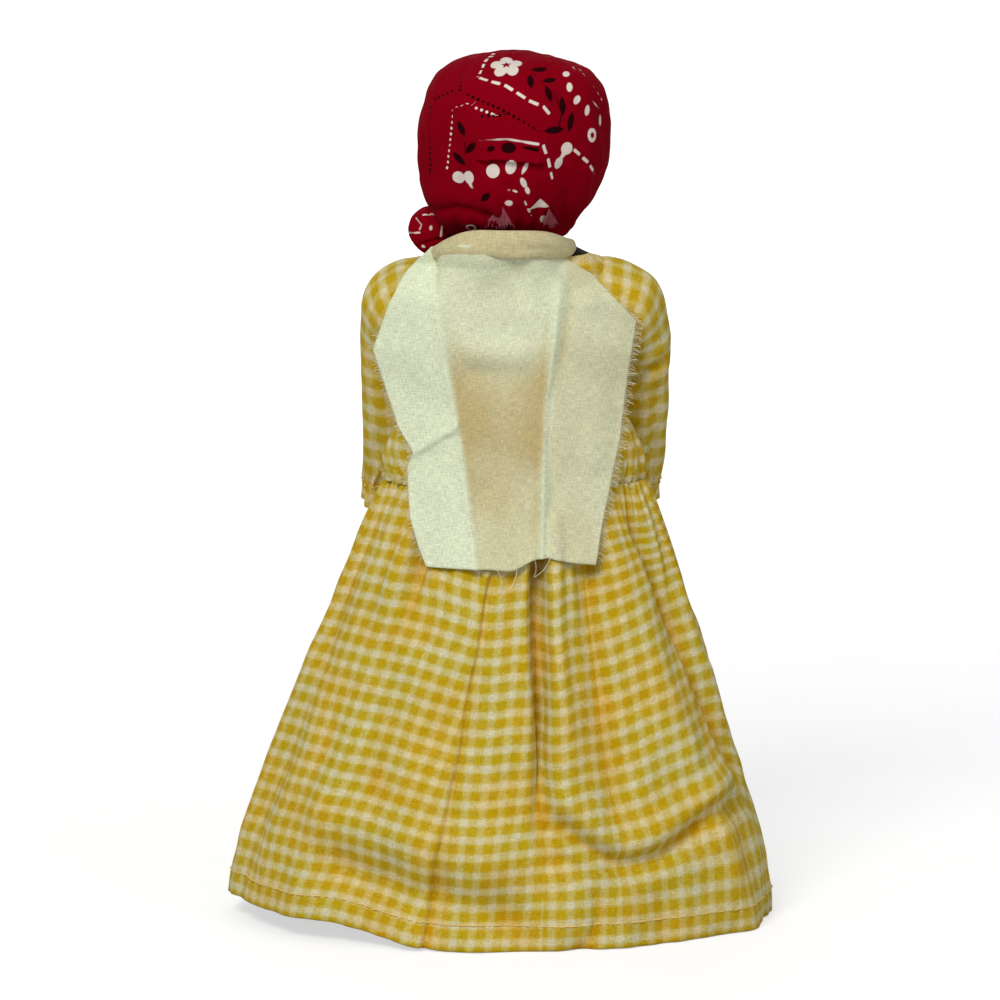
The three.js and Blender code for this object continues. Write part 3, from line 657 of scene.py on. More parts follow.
@dataclass(frozen=True)
class ClothFinish:
    """A plain-woven cloth of one colour.

    Attributes:
        name: the material's name.
        colour: its main colour.
        threads: threads to the millimetre.
        slub: how much single threads differ.
        mottle: how much the shade wanders over a piece.
        relief: height of the threads.
        roughness: the shader's roughness.
        sheen: strength of the fibres' sheen.
        gloss: the shader's level of mirror light.
        depths: what the colour is multiplied by deep in folds, a painted shade that also paints the warmth of
            light that comes through the cloth.
    """

    name: str
    colour: Colour
    threads: float = 2.4
    slub: float = 0.3
    mottle: float = 0.2
    relief: float = 0.12
    roughness: float = 0.9
    sheen: float = 0.15
    gloss: float = 0.2
    # Painted shade: the colour that places deep in folds are multiplied by.
    depths: Optional[Colour] = None

    def place(self, w: Wiring) -> Outlet:
        """The cloth's own flat coordinates, in millimetres."""
        return w.node("ShaderNodeUVMap", uv_map="cloth").outputs[0]

    def colouring(self, w: Wiring, effects: Effects, place: Socket) -> Socket:
        """The colour before shade and wear, from the wiring, the shared groups and the place."""
        return rgba(self.colour)

    def material(self, effects: Effects) -> Material:
        """Builds the material.

        Args:
            effects: the shared shader groups.

        Returns:
            The new material.
        """
        made = bpy.data.materials.new(self.name)
        made.use_nodes = True
        made.diffuse_color = rgba(self.colour)
        w = Wiring(made.node_tree)
        shader = made.node_tree.nodes["Principled BSDF"]
        place = self.place(w)
        weave = w.group(effects.weave, Place=place, Threads=self.threads, Slub=self.slub)
        body = w.node("ShaderNodeTexCoord").outputs["Object"]
        mottle = w.group(effects.mottle, Place=body, Amount=self.mottle)
        shade = w.math("MULTIPLY", weave.outputs["Shade"], mottle.outputs["Shade"])
        tone = w.node("ShaderNodeCombineColor")
        for socket in tone.inputs[:3]:
            w.feed(socket, shade)
        colour = w.blend(1.0, self.colouring(w, effects, place), tone.outputs[0], "MULTIPLY")
        # Painted shade: the piece's fold mask blends the colour towards its darker, multiplied copy.
        if self.depths is not None:
            deep = w.node("ShaderNodeAttribute", attribute_name="hollow").outputs["Fac"]
            colour = w.blend(deep, colour, w.blend(1.0, colour, rgba(self.depths), "MULTIPLY"))
        w.feed(shader.inputs["Base Color"], colour)
        w.feed(shader.inputs["Roughness"],
               w.span(shade, 0.7, 1.3, self.roughness + 0.06, self.roughness - 0.06))
        bump = w.node("ShaderNodeBump")
        bump.inputs["Strength"].default_value = 0.6
        bump.inputs["Distance"].default_value = self.relief * MM
        w.feed(bump.inputs["Height"], weave.outputs["Height"])
        w.feed(shader.inputs["Normal"], bump.outputs[0])
        shader.inputs["Sheen Weight"].default_value = self.sheen
        shader.inputs["Sheen Roughness"].default_value = 0.5
        shader.inputs["Specular IOR Level"].default_value = self.gloss
        return made


@dataclass(frozen=True)
class CheckFinish(ClothFinish):
    """Check cloth, whose darkest squares have the main colour.

    Attributes:
        light: colour where no band runs.
        middle: colour where one band runs.
        repeat: the check's repeat.
    """

    light: Colour = srgb(224, 204, 152)
    middle: Colour = srgb(209, 183, 87)
    repeat: float = 6.35

    def colouring(self, w: Wiring, effects: Effects, place: Socket) -> Socket:
        """The check, cooler in places where the dye is thin.

        Args:
            w: the material's wiring.
            effects: the shared shader groups.
            place: the cloth's own coordinates.

        Returns:
            The colour's socket.
        """
        check = w.group(effects.check, Place=place, Repeat=self.repeat, Light=rgba(self.light),
                        Middle=rgba(self.middle), Dark=rgba(self.colour))
        hue = w.span(w.noise(w.stretch(place, (0.035, 0.045, 1.0)), 1.0, 1.0), 0.36, 0.62)
        cooler = w.blend(1.0, check.outputs["Color"], rgba((0.93, 1.05, 1.32)), "MULTIPLY")
        return w.blend(hue, check.outputs["Color"], cooler)


@dataclass(frozen=True)
class PrintFinish(ClothFinish):
    """Cloth printed in two inks, from distances to the print's outlines that the piece stores.

    Attributes:
        white: the pale ink.
        black: the dark ink.
        dot: radius of a pale dot.
        dark_dot: radius of a dark dot.
        pitch: distance between the dots of a row.
    """

    white: Colour = srgb(226, 214, 204)
    black: Colour = srgb(38, 4, 8)
    dot: float = 0.52
    dark_dot: float = 0.64
    pitch: float = 2.05

    def ink(self, w: Wiring, name: str) -> Outlet:
        """Where one ink lies.

        Args:
            w: the material's wiring.
            name: the ink's name, which starts the names of its attributes.

        Returns:
            A mask of 0 to 1.
        """
        shape = w.node("ShaderNodeAttribute", attribute_name=name + "_shape").outputs["Fac"]
        row = w.node("ShaderNodeSeparateXYZ")
        w.feed(row.inputs[0], w.node("ShaderNodeAttribute", attribute_name=name + "_row").outputs["Vector"])
        turn = w.math("FRACT", w.math("DIVIDE", row.outputs[1], self.pitch))
        along = w.math("MULTIPLY", w.math("SUBTRACT", turn, 0.5), self.pitch)
        squares = w.math("ADD", w.math("POWER", row.outputs[0], 2.0), w.math("POWER", along, 2.0))
        radius = self.dot if name == "white" else self.dark_dot
        off = w.math("SUBTRACT", w.math("SQRT", squares), radius)
        near = w.math("GREATER_THAN", row.outputs[2], 0.99)
        dots = w.math("MULTIPLY", w.span(off, 0.12, -0.12), near)
        return w.math("MAXIMUM", dots, w.span(shape, 0.14, -0.14))

    def colouring(self, w: Wiring, effects: Effects, place: Socket) -> Socket:
        """The ground with both inks on it."""
        ground = w.blend(self.ink(w, "black"), rgba(self.colour), rgba(self.black))
        return w.blend(self.ink(w, "white"), ground, rgba(self.white))


@dataclass(frozen=True)
class FibreFinish(ClothFinish):
    """Loose fibre, thread or embroidery, patterned through the piece's body instead of over a weave.

    Attributes:
        grain: how fine the fibre is, in strands to the metre.
        lean: how far strands stretch along X, Y and Z.
    """

    grain: float = 1.0
    lean: Colour = (1.0, 1.0, 1.0)

    def place(self, w: Wiring) -> Outlet:
        """Places in the piece's body, in millimetres and stretched along the strands."""
        body = w.node("ShaderNodeTexCoord").outputs["Object"]
        return w.stretch(body, tuple(1000 * self.grain / s for s in self.lean))


class Wardrobe:
    """Every material of the doll."""

    def __init__(self) -> None:
        """Builds the materials."""
        effects = Effects()
        thread = {"threads": 3.0, "mottle": 0.3, "relief": 0.1}
        floss = {"threads": 1.6, "slub": 0.5, "relief": 0.2, "sheen": 0.3}
        finishes = {
            "gingham": CheckFinish("gingham_cotton", srgb(198, 158, 10), threads=3.0, slub=0.70, mottle=0.26,
                                   sheen=0.05, gloss=0.06, depths=(1.0, 0.82, 0.46)),
            "muslin": ClothFinish("unbleached_muslin", srgb(234, 245, 214), threads=2.1, slub=0.80,
                                  mottle=0.14, relief=0.18, sheen=0.05, gloss=0.06,
                                  depths=(0.70, 0.51, 0.33)),
            "kerchief": PrintFinish("printed_cotton", srgb(134, 0, 20), threads=3.0, slub=0.24, mottle=0.34,
                                    relief=0.08, sheen=0.0, gloss=0.02, depths=(0.62, 0.5, 0.5)),
            "kerchief_plain": ClothFinish("printed_cotton_wrong_side", srgb(168, 88, 100), threads=3.6,
                                          slub=2.4, mottle=0.9, relief=0.2, sheen=0.0, gloss=0.02),
            "skin": ClothFinish("dark_cotton", srgb(26, 18, 15), threads=2.6, slub=0.4, mottle=0.3,
                                sheen=0.02, gloss=0.1),
            "wadding": FibreFinish("loose_wadding", srgb(236, 230, 216), threads=0.8, slub=0.4, mottle=0.3,
                                   relief=0.5, grain=0.5),
            "thread": FibreFinish("sewing_thread", srgb(240, 206, 122), **thread),
            "pale_thread": FibreFinish("raw_muslin_thread", srgb(226, 220, 188), **thread),
            "eye_tan": FibreFinish("tan_floss", srgb(132, 94, 66), roughness=0.7, lean=(1, 1, 6), **floss),
            "eye_dark": FibreFinish("dark_floss", srgb(28, 20, 18), roughness=0.6, lean=(1, 1, 6), **floss),
            "mouth": FibreFinish("rose_floss", srgb(116, 56, 48), roughness=0.7, lean=(6, 1, 1), **floss),
        }
        self.materials = {key: finish.material(effects) for key, finish in finishes.items()}

    def __getitem__(self, key: str) -> Material:
        """The material of a finish."""
        return self.materials[key]


# Stitches and fringe


class Stitching:
    """Node trees that lay short threads along a path, and the way to make plain meshes of their result."""

    def __init__(self) -> None:
        """Builds the trees."""
        self.stitches = self._tree("running_stitch", upright=False)
        self.fringe = self._tree("frayed_edge", upright=True)

    @staticmethod
    def _tree(name: str, upright: bool) -> NodeTree:
        """A tree that sets a bent thread at each step of a path whose points carry an out direction.

        Args:
            name: the tree's name.
            upright: whether threads stand out from the path, as fringe, or lie along it, as stitches.

        Returns:
            The node tree.
        """
        tree = bpy.data.node_groups.new(name, "GeometryNodeTree")
        sizes = ("Step", "Length", "Thickness", "Bend", "Spread", "Uneven")
        kinds = {"Path": "Geometry", **dict.fromkeys(sizes, "Float"), "Seed": "Int", "Material": "Material"}
        for key, kind in kinds.items():
            tree.interface.new_socket(key, in_out="INPUT", socket_type="NodeSocket" + kind)
        tree.interface.new_socket("Threads", in_out="OUTPUT", socket_type="NodeSocketGeometry")
        w = Wiring(tree)
        given = {s.name: s for s in w.node("NodeGroupInput").outputs if s.name}

        route = w.node("GeometryNodeMeshToCurve")
        w.feed(route.inputs["Mesh"], given["Path"])
        steps = w.node("GeometryNodeResampleCurve", mode="LENGTH")
        w.feed(steps.inputs["Curve"], route.outputs[0])
        w.feed(steps.inputs["Length"], given["Step"])
        out = w.node("GeometryNodeInputNamedAttribute", data_type="FLOAT_VECTOR")
        out.inputs["Name"].default_value = "out"
        tangent = w.node("GeometryNodeInputTangent")
        turn = w.node("FunctionNodeAxesToRotation", primary_axis="Z", secondary_axis="X")
        w.feed(turn.inputs[0], out.outputs[0])
        w.feed(turn.inputs[1], tangent.outputs[0])

        thread = w.node("GeometryNodeCurveQuadraticBezier")
        thread.inputs["Resolution"].default_value = 4
        for number, share in enumerate((0.0, 0.5, 1.0)):
            place = w.node("ShaderNodeCombineXYZ")
            along = w.math("MULTIPLY", given["Length"], share if upright else share - 0.5)
            lift = w.math("MULTIPLY", given["Bend"], 1.0 if number == 1 else 0.0)
            w.feed(place.inputs[2 if upright else 0], along)
            w.feed(place.inputs[0 if upright else 2], lift)
            w.feed(thread.inputs[1 + number], place.outputs[0])
        ring = w.node("GeometryNodeCurvePrimitiveCircle")
        ring.inputs["Resolution"].default_value = 4
        w.feed(ring.inputs["Radius"], w.math("MULTIPLY", given["Thickness"], 0.5))
        body = w.node("GeometryNodeCurveToMesh")
        w.feed(body.inputs[0], thread.outputs[0])
        w.feed(body.inputs[1], ring.outputs[0])
        body.inputs["Fill Caps"].default_value = True

        swing = w.node("FunctionNodeRandomValue", data_type="FLOAT_VECTOR")
        w.feed(swing.inputs["Min"], (-1.0, -1.0, -1.0))
        w.feed(swing.inputs["Max"], (1.0, 1.0, 1.0))
        w.feed(swing.inputs["Seed"], given["Seed"])
        lean = w.node("ShaderNodeVectorMath", operation="SCALE")
        w.feed(lean.inputs[0], swing.outputs[0])
        w.feed(lean.inputs["Scale"], given["Spread"])
        leaning = w.node("FunctionNodeRotateRotation", rotation_space="LOCAL")
        w.feed(leaning.inputs[0], turn.outputs[0])
        euler = w.node("FunctionNodeEulerToRotation")
        w.feed(euler.inputs[0], lean.outputs[0])
        w.feed(leaning.inputs[1], euler.outputs[0])
        size = w.node("FunctionNodeRandomValue", data_type="FLOAT")
        w.feed(size.inputs[2], w.math("SUBTRACT", 1.0, given["Uneven"]))
        w.feed(size.inputs[3], w.math("ADD", 1.0, given["Uneven"]))
        w.feed(size.inputs["Seed"], w.math("ADD", given["Seed"], 7.0))

        lay = w.node("GeometryNodeInstanceOnPoints")
        w.feed(lay.inputs["Points"], steps.outputs[0])
        w.feed(lay.inputs["Instance"], body.outputs[0])
        w.feed(lay.inputs["Rotation"], leaning.outputs[0])
        w.feed(lay.inputs["Scale"], size.outputs[1])
        real = w.node("GeometryNodeRealizeInstances")
        w.feed(real.inputs[0], lay.outputs[0])
        finish = w.node("GeometryNodeSetMaterial")
        w.feed(finish.inputs["Geometry"], real.outputs[0])
        w.feed(finish.inputs["Material"], given["Material"])
        w.feed(w.node("NodeGroupOutput").inputs[0], finish.outputs[0])
        return tree

    def sew(self, name: str, tree: NodeTree, path: Array, out: Array, material: Material,
            closed: bool, seed: int, step: float, length: float, thickness: float, bend: float,
            spread: float, uneven: float) -> Piece:
        """Lays threads along a path and keeps them as a plain mesh.

        Args:
            name: the new object's name.
            tree: which of the trees.
            path: places along the path.
            out: at each place, the direction off the cloth or, for fringe, off its edge.
            material: the threads' finish.
            closed: whether the path meets its start.
            seed: picks the unevenness.
            step: distance between threads.
            length: length of a thread.
            thickness: its thickness.
            bend: how far its middle stands off the straight line.
            spread: how far threads lean either way, in radians.
            uneven: how much lengths differ, as a share.

        Returns:
            The new object, not yet on a body.
        """
        guide = bpy.data.meshes.new(name + "_path")
        count = len(path)
        edges = [(i, (i + 1) % count) for i in range(count if closed else count - 1)]
        guide.from_pydata((path * MM).tolist(), edges, [])
        carrier = link_mesh(name + "_path", guide)
        tag(carrier, "out", out)
        layer = carrier.modifiers.new("threads", "NODES")
        layer.node_group = tree
        sizes = {"Step": step * MM, "Length": length * MM, "Thickness": thickness * MM, "Bend": bend * MM,
                 "Spread": spread, "Uneven": uneven, "Seed": seed, "Material": material}
        for socket in tree.interface.items_tree:
            if socket.item_type == "SOCKET" and socket.in_out == "INPUT" and socket.name in sizes:
                layer[socket.identifier] = sizes[socket.name]
        carrier.update_tag()
        graph = bpy.context.evaluated_depsgraph_get()
        mesh = bpy.data.meshes.new_from_object(carrier.evaluated_get(graph))
        carrier.modifiers.clear()
        bpy.data.objects.remove(carrier)
        mesh.polygons.foreach_set("use_smooth", np.ones(len(mesh.polygons), bool))
        mesh.name = name
        return link_mesh(name, mesh)


# Dress


@dataclass(frozen=True)
class Fold:
    """A fold that runs down the skirt.

    Attributes:
        top: its angle at the waist, in degrees from the doll's left, 90 at the middle of the back.
        hem: its angle at the hem.
        width: half its width, in degrees.
        depth: how far it stands out, or in where negative.
        start: where it begins, from the waist, 0, to the hem, 1.
        end: where it dies out.
        pleat: whether it is a pleat with steep walls, instead of a round fold.
    """

    top: float
    hem: float
    width: float
    depth: float
    start: float = 0.0
    end: float = 1.3
    pleat: bool = False

    def height(self, turn: Array, share: Array) -> Array:
        """How far the cloth stands out here.

        Args:
            turn: angles in degrees.
            share: places from the waist to the hem.

        Returns:
            Offsets in millimetres.
        """
        away = (turn - self.top - (self.hem - self.top) * share + 180.0) % 360.0 - 180.0
        begun = ease(share, self.start - 0.02, self.start + 0.14)
        life = begun * (1.0 - ease(share, self.end - 0.3, self.end))
        form = 1 / (1 + (away / self.width) ** 6) if self.pleat else bell(away, self.width)
        return self.depth * form * life


@dataclass
class Skirt:
    """The gathered, floor-length skirt with its turned and stitched hem.

    Attributes:
        half_width: half its width against its height.
        half_depth: half its depth against its height.
        lift: how far the hem stands off the floor on the doll's left.
        cuts: lines where cloth is lost in a seam or a deep fold, as angles at the waist and the hem.
        pleat_cut: which of the cuts is the pleat's.
        pleat_loss: how much cloth lies hidden in the pleat.
        folds: the single folds.
        sag: heights of the crease that sags across the right of the back, by angle.
        columns: columns of its mesh, about.
        rows: rows of its mesh, the hem's turn not counted.
        turn_depth: depth of the hem's turn.
        stitch_height: how far the hem's stitches lie above its edge.
    """

    half_width: Curve = (
        (0, 96.6), (9, 96.0), (29, 92.2), (50, 85.2), (70, 78.0), (90, 71.2), (110, 63.8), (130, 57.0),
        (146, 51.0), (158, 45.4))
    half_depth: Curve = (
        (0, 68.4), (25, 63.0), (50, 57.0), (80, 49.0), (110, 41.4), (135, 34.6), (150, 30.2), (158, 27.4))
    lift: float = 7.5
    cuts: Curve = (
        (20, 15), (83, 73), (98.8, 98.8), (118, 116), (150, 148), (184, 184), (222, 218), (262, 258),
        (300, 300), (338, 336))
    pleat_cut: int = 2
    pleat_loss: float = 2.9
    folds: Sequence[Fold] = (
        Fold(98.8, 98.8, 2.2, -8.0, -0.2, 0.85, True),
        Fold(94.4, 94.4, 2.6, 1.8, -0.2, 0.7),
        Fold(104.5, 105.5, 4.2, 3.4, 0.0, 0.8),
        Fold(116, 118, 5.0, -4.2, 0.02, 0.85),
        Fold(126, 152, 8.0, 4.2, 0.05),
        Fold(141, 183, 5.0, -4.6, 0.0, 0.86),
        Fold(160, 178, 7.0, 2.0, 0.1, 0.8),
        Fold(184, 192, 6.0, -2.4, 0.0, 0.8),
        Fold(88, 84, 5.0, 1.4, 0.3),
        Fold(71, 62, 5.0, 2.4, 0.0, 0.9),
        Fold(57.5, 31, 5.5, -3.8, 0.0, 0.62),
        Fold(48, 42, 6.0, 3.0, 0.05),
        Fold(35, 48, 6.0, -0.8, 0.4, 0.85),
        Fold(20, 15, 6.0, -2.0, 0.0),
        Fold(6, 4, 6.0, 2.4, 0.15),
        Fold(200, 202, 7.0, 2.7, 0.1),
        Fold(222, 218, 6.0, -4.0, 0.0),
        Fold(240, 238, 7.0, 3.0, 0.1),
        Fold(262, 258, 5.0, -4.5, 0.0),
        Fold(280, 281, 7.0, 2.9, 0.1),
        Fold(300, 300, 5.0, -4.2, 0.0),
        Fold(319, 317, 7.0, 3.0, 0.1),
        Fold(338, 336, 6.0, -3.5, 0.0),
    )
    sag: Curve = (
        (96, 44.0), (104, 41.5), (111, 33.0), (118, 27.5), (126, 29.5), (134, 35.0), (146, 43.0),
        (158, 44.0), (172, 42.0))
    columns: int = 560
    rows: int = 150
    turn_depth: float = 9.0
    stitch_height: float = 8.0

    def _columns(self) -> tuple[Array, Array, list[int]]:
        """Sets out the columns, closest together beside the cuts.

        Returns:
            Their angles at the waist and at the hem, and which columns lie on cuts.
        """
        tops, hems, starts = [], [], []
        ring = list(self.cuts) + [(self.cuts[0][0] + 360.0, self.cuts[0][1] + 360.0)]
        for (top, hem), (next_top, next_hem) in zip(ring, ring[1:]):
            count = max(16, round(self.columns * (next_hem - hem) / 360.0))
            step = np.arange(count) / count
            share = 0.6 * step + 0.4 * (0.5 - 0.5 * np.cos(np.pi * step))
            starts.append(len(tops))
            tops.extend(top + (next_top - top) * share)
            hems.extend(hem + (next_hem - hem) * share)
        return np.array(tops), np.array(hems), starts

    def _lap(self, turn: Array, share: Array, height: Array) -> Array:
        """How far places lie to the left of the lapped seam, in degrees."""
        return 83.0 - 10.0 * share - turn + 0.25 * np.sin(height / 5.0)

    def _relief(self, turn: Array, share: Array, height: Array) -> Array:
        """How far gathers, folds, the lapped seam and creases stand out.

        Args:
            turn: angles in degrees.
            share: places from the waist to the hem.
            height: heights over the floor.

        Returns:
            Offsets in millimetres.
        """
        total = sum(fold.height(turn, share) for fold in self.folds)
        angle = np.radians(turn)
        uneven = 0.65 + 0.35 * np.sin(7 * angle + 1.3)
        total += 1.1 * uneven * np.exp(-share / 0.13) * np.cos(78 * angle + 2.2 * np.sin(5 * angle))
        broad = np.cos(31 * angle + 1.6 * np.sin(4 * angle))
        total += 0.9 * uneven * np.exp(-(((share - 0.16) / 0.2) ** 2)) * broad
        lap = self._lap(turn, share, height)
        over = 1.7 * bell(np.maximum(lap, 0), 8.0) * ease(lap, -0.5, 0.3)
        total += (over - 0.6 * bell(lap + 1.0, 1.3)) * (np.abs(lap) < 40)
        valley = height - spline(self.sag, np.clip(turn, 96, 172))
        window = ease(turn, 98, 104) * (1 - ease(turn, 150, 172))
        total += window * (2.8 * bell(valley - 9.0, 6.0) - 3.2 * bell(valley, 4.2))
        arch = np.hypot((turn - 102.5) / 8.0, (height - 13.0) / 17.0)
        total += ease(turn, 97, 103) * (1.8 * bell(arch, 0.7) - 2.0 * bell(arch - 1.05, 0.2))
        slack = height - 31.0 + 0.33 * (turn - 60.0)
        left = ease(turn, 32, 50) * (1 - ease(turn, 88, 100))
        total += left * (2.6 * bell(slack - 10.0, 8.5) - 4.4 * bell(slack + 9.0, 8.5))
        return total

    def shape(self) -> tuple[Array, Array, list[int], Array]:
        """The skirt's outer face.

        Returns:
            Points by row and column, angles in degrees, columns on cuts, and shares from waist to hem.
        """
        tops, hems, starts = self._columns()
        share = np.linspace(1.0, 0.0, self.rows)[:, None]
        turn = tops + (hems - tops) * share
        ahead = (turn + 180.0) % 360.0 - 180.0
        hem = self.lift * ease(ahead, -62, 0) * (1 - ease(ahead, 48, 80)) + 0.35
        z = hem + (WAIST_Z - 0.4 - hem) * (1.0 - share)
        angle = np.radians(turn)
        hem_zone = bell(z - hem, 12.0)
        out = self._relief(turn % 360.0, share, z)
        out += hem_zone * 0.3 * np.sin(41 * angle + 2.5 * np.sin(6 * angle))
        middle = BODY_X - 1.2 + (1.2 - BODY_X) * share**0.9
        x = middle + (spline(self.half_width, z) + out) * np.cos(angle)
        y = (spline(self.half_depth, z) + out) * np.sin(angle)
        points = np.stack([x, y, z], -1)
        wrinkle = 0.75 * Ripple(11, 16, 44, (1.0, 1.0, 2.2)).at(points)
        wrinkle += 0.16 * Ripple(12, 6, 14, (1, 1, 1.6)).at(points)
        lift = (wrinkle * ease(share, 0.02, 0.25))[..., None] * np.array([1, 1, 0.35])
        return points + normals_of(points, True) * lift, turn, starts, share

    def _slant(self, turn: Array) -> Array:
        """How far the level threads are drawn up beside the pleat, away from the hem and the waist.

        Args:
            turn: angles in degrees.

        Returns:
            Rises in millimetres.
        """
        share = np.linspace(1.0, 0.0, self.rows)[:, None]
        drawn = ease(share, 0.02, 0.25) * (1 - ease(share, 0.62, 0.97))
        right = ease(turn, 100, 112) * 4.0 + ease(turn, 110, 158) * 12.0
        return drawn * right * (1 - ease(turn, 165, 200))

    def _flat(self, points: Array, turn: Array, starts: list[int]) -> tuple[Array, Array]:
        """Flat coordinates on both sides of each column, cut where cloth is lost in folds.

        Args:
            points: the outer face.
            turn: angles in degrees.
            starts: columns on cuts.

        Returns:
            Coordinates at each face's near and far column.
        """
        rows, columns = points.shape[:2]
        ring = np.concatenate([points, points[:, :1]], axis=1)
        near = np.zeros((rows, columns))
        far = np.zeros((rows, columns))
        middle = 0.0
        for number, first in enumerate(starts):
            last = starts[number + 1] if number + 1 < len(starts) else columns
            arc = lengths(ring[:, first: last + 1], 1)
            half = arc.shape[1] // 2
            middle += arc[0, half] + (self.pleat_loss if number == self.pleat_cut else 0.0)
            placed = middle + arc - arc[:, half: half + 1]
            near[:, first:last] = placed[:, :-1]
            far[:, first:last] = placed[:, 1:]
            middle += arc[0, -1] - arc[0, half]
        reach = 9
        window = np.ones(2 * reach + 1) / (2 * reach + 1)
        rounds = np.pad(lengths(points, 0), ((0, 0), (reach, reach)), mode="wrap")
        smooth = np.stack([np.convolve(row, window, "valid") for row in rounds])
        smooth -= self._slant(turn)
        tall_far = np.roll(smooth, -1, axis=1)
        return np.stack([near, smooth], -1), np.stack([far, tall_far], -1)

    def build(self, wardrobe: Wardrobe, stitching: Stitching) -> None:
        """Makes the skirt with its hem and stitches.

        Args:
            wardrobe: the doll's materials.
            stitching: the thread trees.
        """
        points, turn, starts, share = self.shape()
        near, far = self._flat(points, turn, starts)
        square = normals_of(points, True)
        inside, near_in, far_in = [], [], []
        for rise, offset in ((self.turn_depth, 1.0), (6.0, 1.25), (3.0, 1.25), (0.9, 1.15), (-0.25, 0.65)):
            row = int(np.argmin(np.abs(near[:, 0, 1] - max(rise, 0.0))))
            ring = points[row] - square[row] * np.array([offset, offset, 0.0])
            ring[:, 2] = points[0, :, 2] + rise
            inside.append(ring)
            near_in.append(near[0] - np.array([0.0, rise + 1.0]))
            far_in.append(far[0] - np.array([0.0, rise + 1.0]))
        whole = np.concatenate([np.stack(inside), points])
        whole[..., 2] = np.maximum(whole[..., 2], 0.05)
        skirt = grid("skirt_cloth", whole, np.concatenate([np.stack(near_in), near]), True,
                     uv_right=np.concatenate([np.stack(far_in), far]))
        # Painted shade: deep in the folds, a thin painted shadow line beside the lapped seam, and full shade
        # on the hem's turned inside.
        hollow = np.maximum(hollow_of(points, 9, 2.2), 0.8 * hollow_of(points, 22, 5.0))
        seam = self._lap(turn % 360.0, share, points[..., 2])
        hollow = np.maximum(hollow, bell(seam + 0.35, 0.45))
        tag(skirt, "hollow", np.concatenate([np.ones((len(inside), points.shape[1])), hollow]).ravel())
        dress(skirt, wardrobe["gingham"], "torso", "gingham", "skirt")
        row = int(np.argmin(np.abs(near[:, 0, 1] - self.stitch_height)))
        stitches = stitching.sew("hem_stitches", stitching.stitches, points[row] + 0.22 * square[row],
                                 square[row], wardrobe["thread"], closed=True, seed=3, step=3.3, length=2.4,
                                 thickness=0.5, bend=0.12, spread=0.1, uneven=0.35)
        dress(stitches, wardrobe["thread"], "torso", "thread")


@dataclass
class Bodice:
    """The bodice, bagged over the waist seam and square at the armholes.

    Attributes:
        sections: its level sections: height, half width, half depth, squareness, and narrowing to the front.
        columns: columns of its mesh.
        rows: rows of its mesh.
        armhole: radius of the armholes.
        seam_row: row of the mesh along which the waist seam's stitches lie.
    """

    sections: Sequence[tuple[float, float, float, float, float]] = (
        (157.2, 45.9, 27.9, 2.0, 0.0), (162, 46.1, 28.6, 2.0, 0.05), (169.8, 44.4, 27.8, 2.05, 0.12),
        (184.0, 37.8, 26.0, 2.2, 0.15), (198.3, 33.6, 23.2, 2.7, 0.06), (208.8, 32.4, 20.9, 3.6, 0.0),
        (220.0, 33.1, 18.5, 4.0, 0.0), (230.0, 33.2, 17.0, 3.6, 0.0), (234.2, 33.1, 16.8, 3.0, 0.0),
        (236.2, 30.6, 16.4, 2.6, 0.0), (237.9, 26.4, 15.6, 2.4, 0.0))
    columns: int = 260
    rows: int = 96
    armhole: float = 9.0
    seam_row: int = 3

    def build(self, wardrobe: Wardrobe, stitching: Stitching) -> None:
        """Makes the bodice and the stitches of its waist seam.

        Args:
            wardrobe: the doll's materials.
            stitching: the thread trees.
        """
        z = np.linspace(self.sections[0][0], self.sections[-1][0], self.rows)[:, None]
        wide, deep, square, narrow = sections_at(self.sections, z)
        angle = np.linspace(0, 2 * np.pi, self.columns, endpoint=False)[None]
        c, s = np.cos(angle), np.sin(angle)
        x = np.sign(c) * np.abs(c) ** (2 / square) * (1 + narrow * s)
        y = np.sign(s) * np.abs(s) ** (2 / square)
        low = np.exp(-(z - WAIST_Z) / 12.0)
        gather = 0.8 * low * np.cos(64 * angle + 2 * np.sin(5 * angle))
        gather += 0.6 * low**0.5 * np.cos(23 * angle + 1.0)
        points = np.stack([BODY_X + (wide + gather) * x, (deep + gather) * y, z + 0 * angle], -1)
        beside = ease(np.abs(points[..., 0] - BODY_X), 26, 31) * ease(z, 196, 204)
        free = (1 - beside) * ease(z, 158, 166)
        slack = Ripple(21, 12, 34, (1, 1, 1.8)).at(points) * 0.7
        points += normals_of(points, True) * (free * np.minimum(slack, 0.3))[..., None]
        ring = np.concatenate([points, points[:, :1]], axis=1)
        arc = lengths(ring, 1)
        back = self.columns // 4
        rise = np.cumsum(np.concatenate([[0], np.diff(z[:, 0]) * 1.06]))[:, None] + 0 * arc
        uv = np.stack([arc - arc[:, back: back + 1], rise + 1.4], -1)
        middles = (points[:-1] + points[1:]) / 2
        hole = np.hypot(middles[..., 1], middles[..., 2] - SHOULDER_Z) < self.armhole
        keep = ~(hole & (np.abs(middles[..., 0] - BODY_X) > 0.9 * SHOULDER_X))
        cloth = grid("bodice_cloth", points, uv, True, keep)
        # Painted shade in the bodice's folds.
        tag(cloth, "hollow", hollow_of(points, 5, 1.6).ravel())
        dress(cloth, wardrobe["gingham"], "torso", "gingham", "bodice")
        off = normals_of(points, True)[self.seam_row]
        seam = stitching.sew("waist_stitches", stitching.stitches, points[self.seam_row] + 0.2 * off, off,
                             wardrobe["thread"], closed=True, seed=5, step=3.4, length=1.9, thickness=0.32,
                             bend=0.05, spread=0.05, uneven=0.2)
        dress(seam, wardrobe["thread"], "torso", "thread")


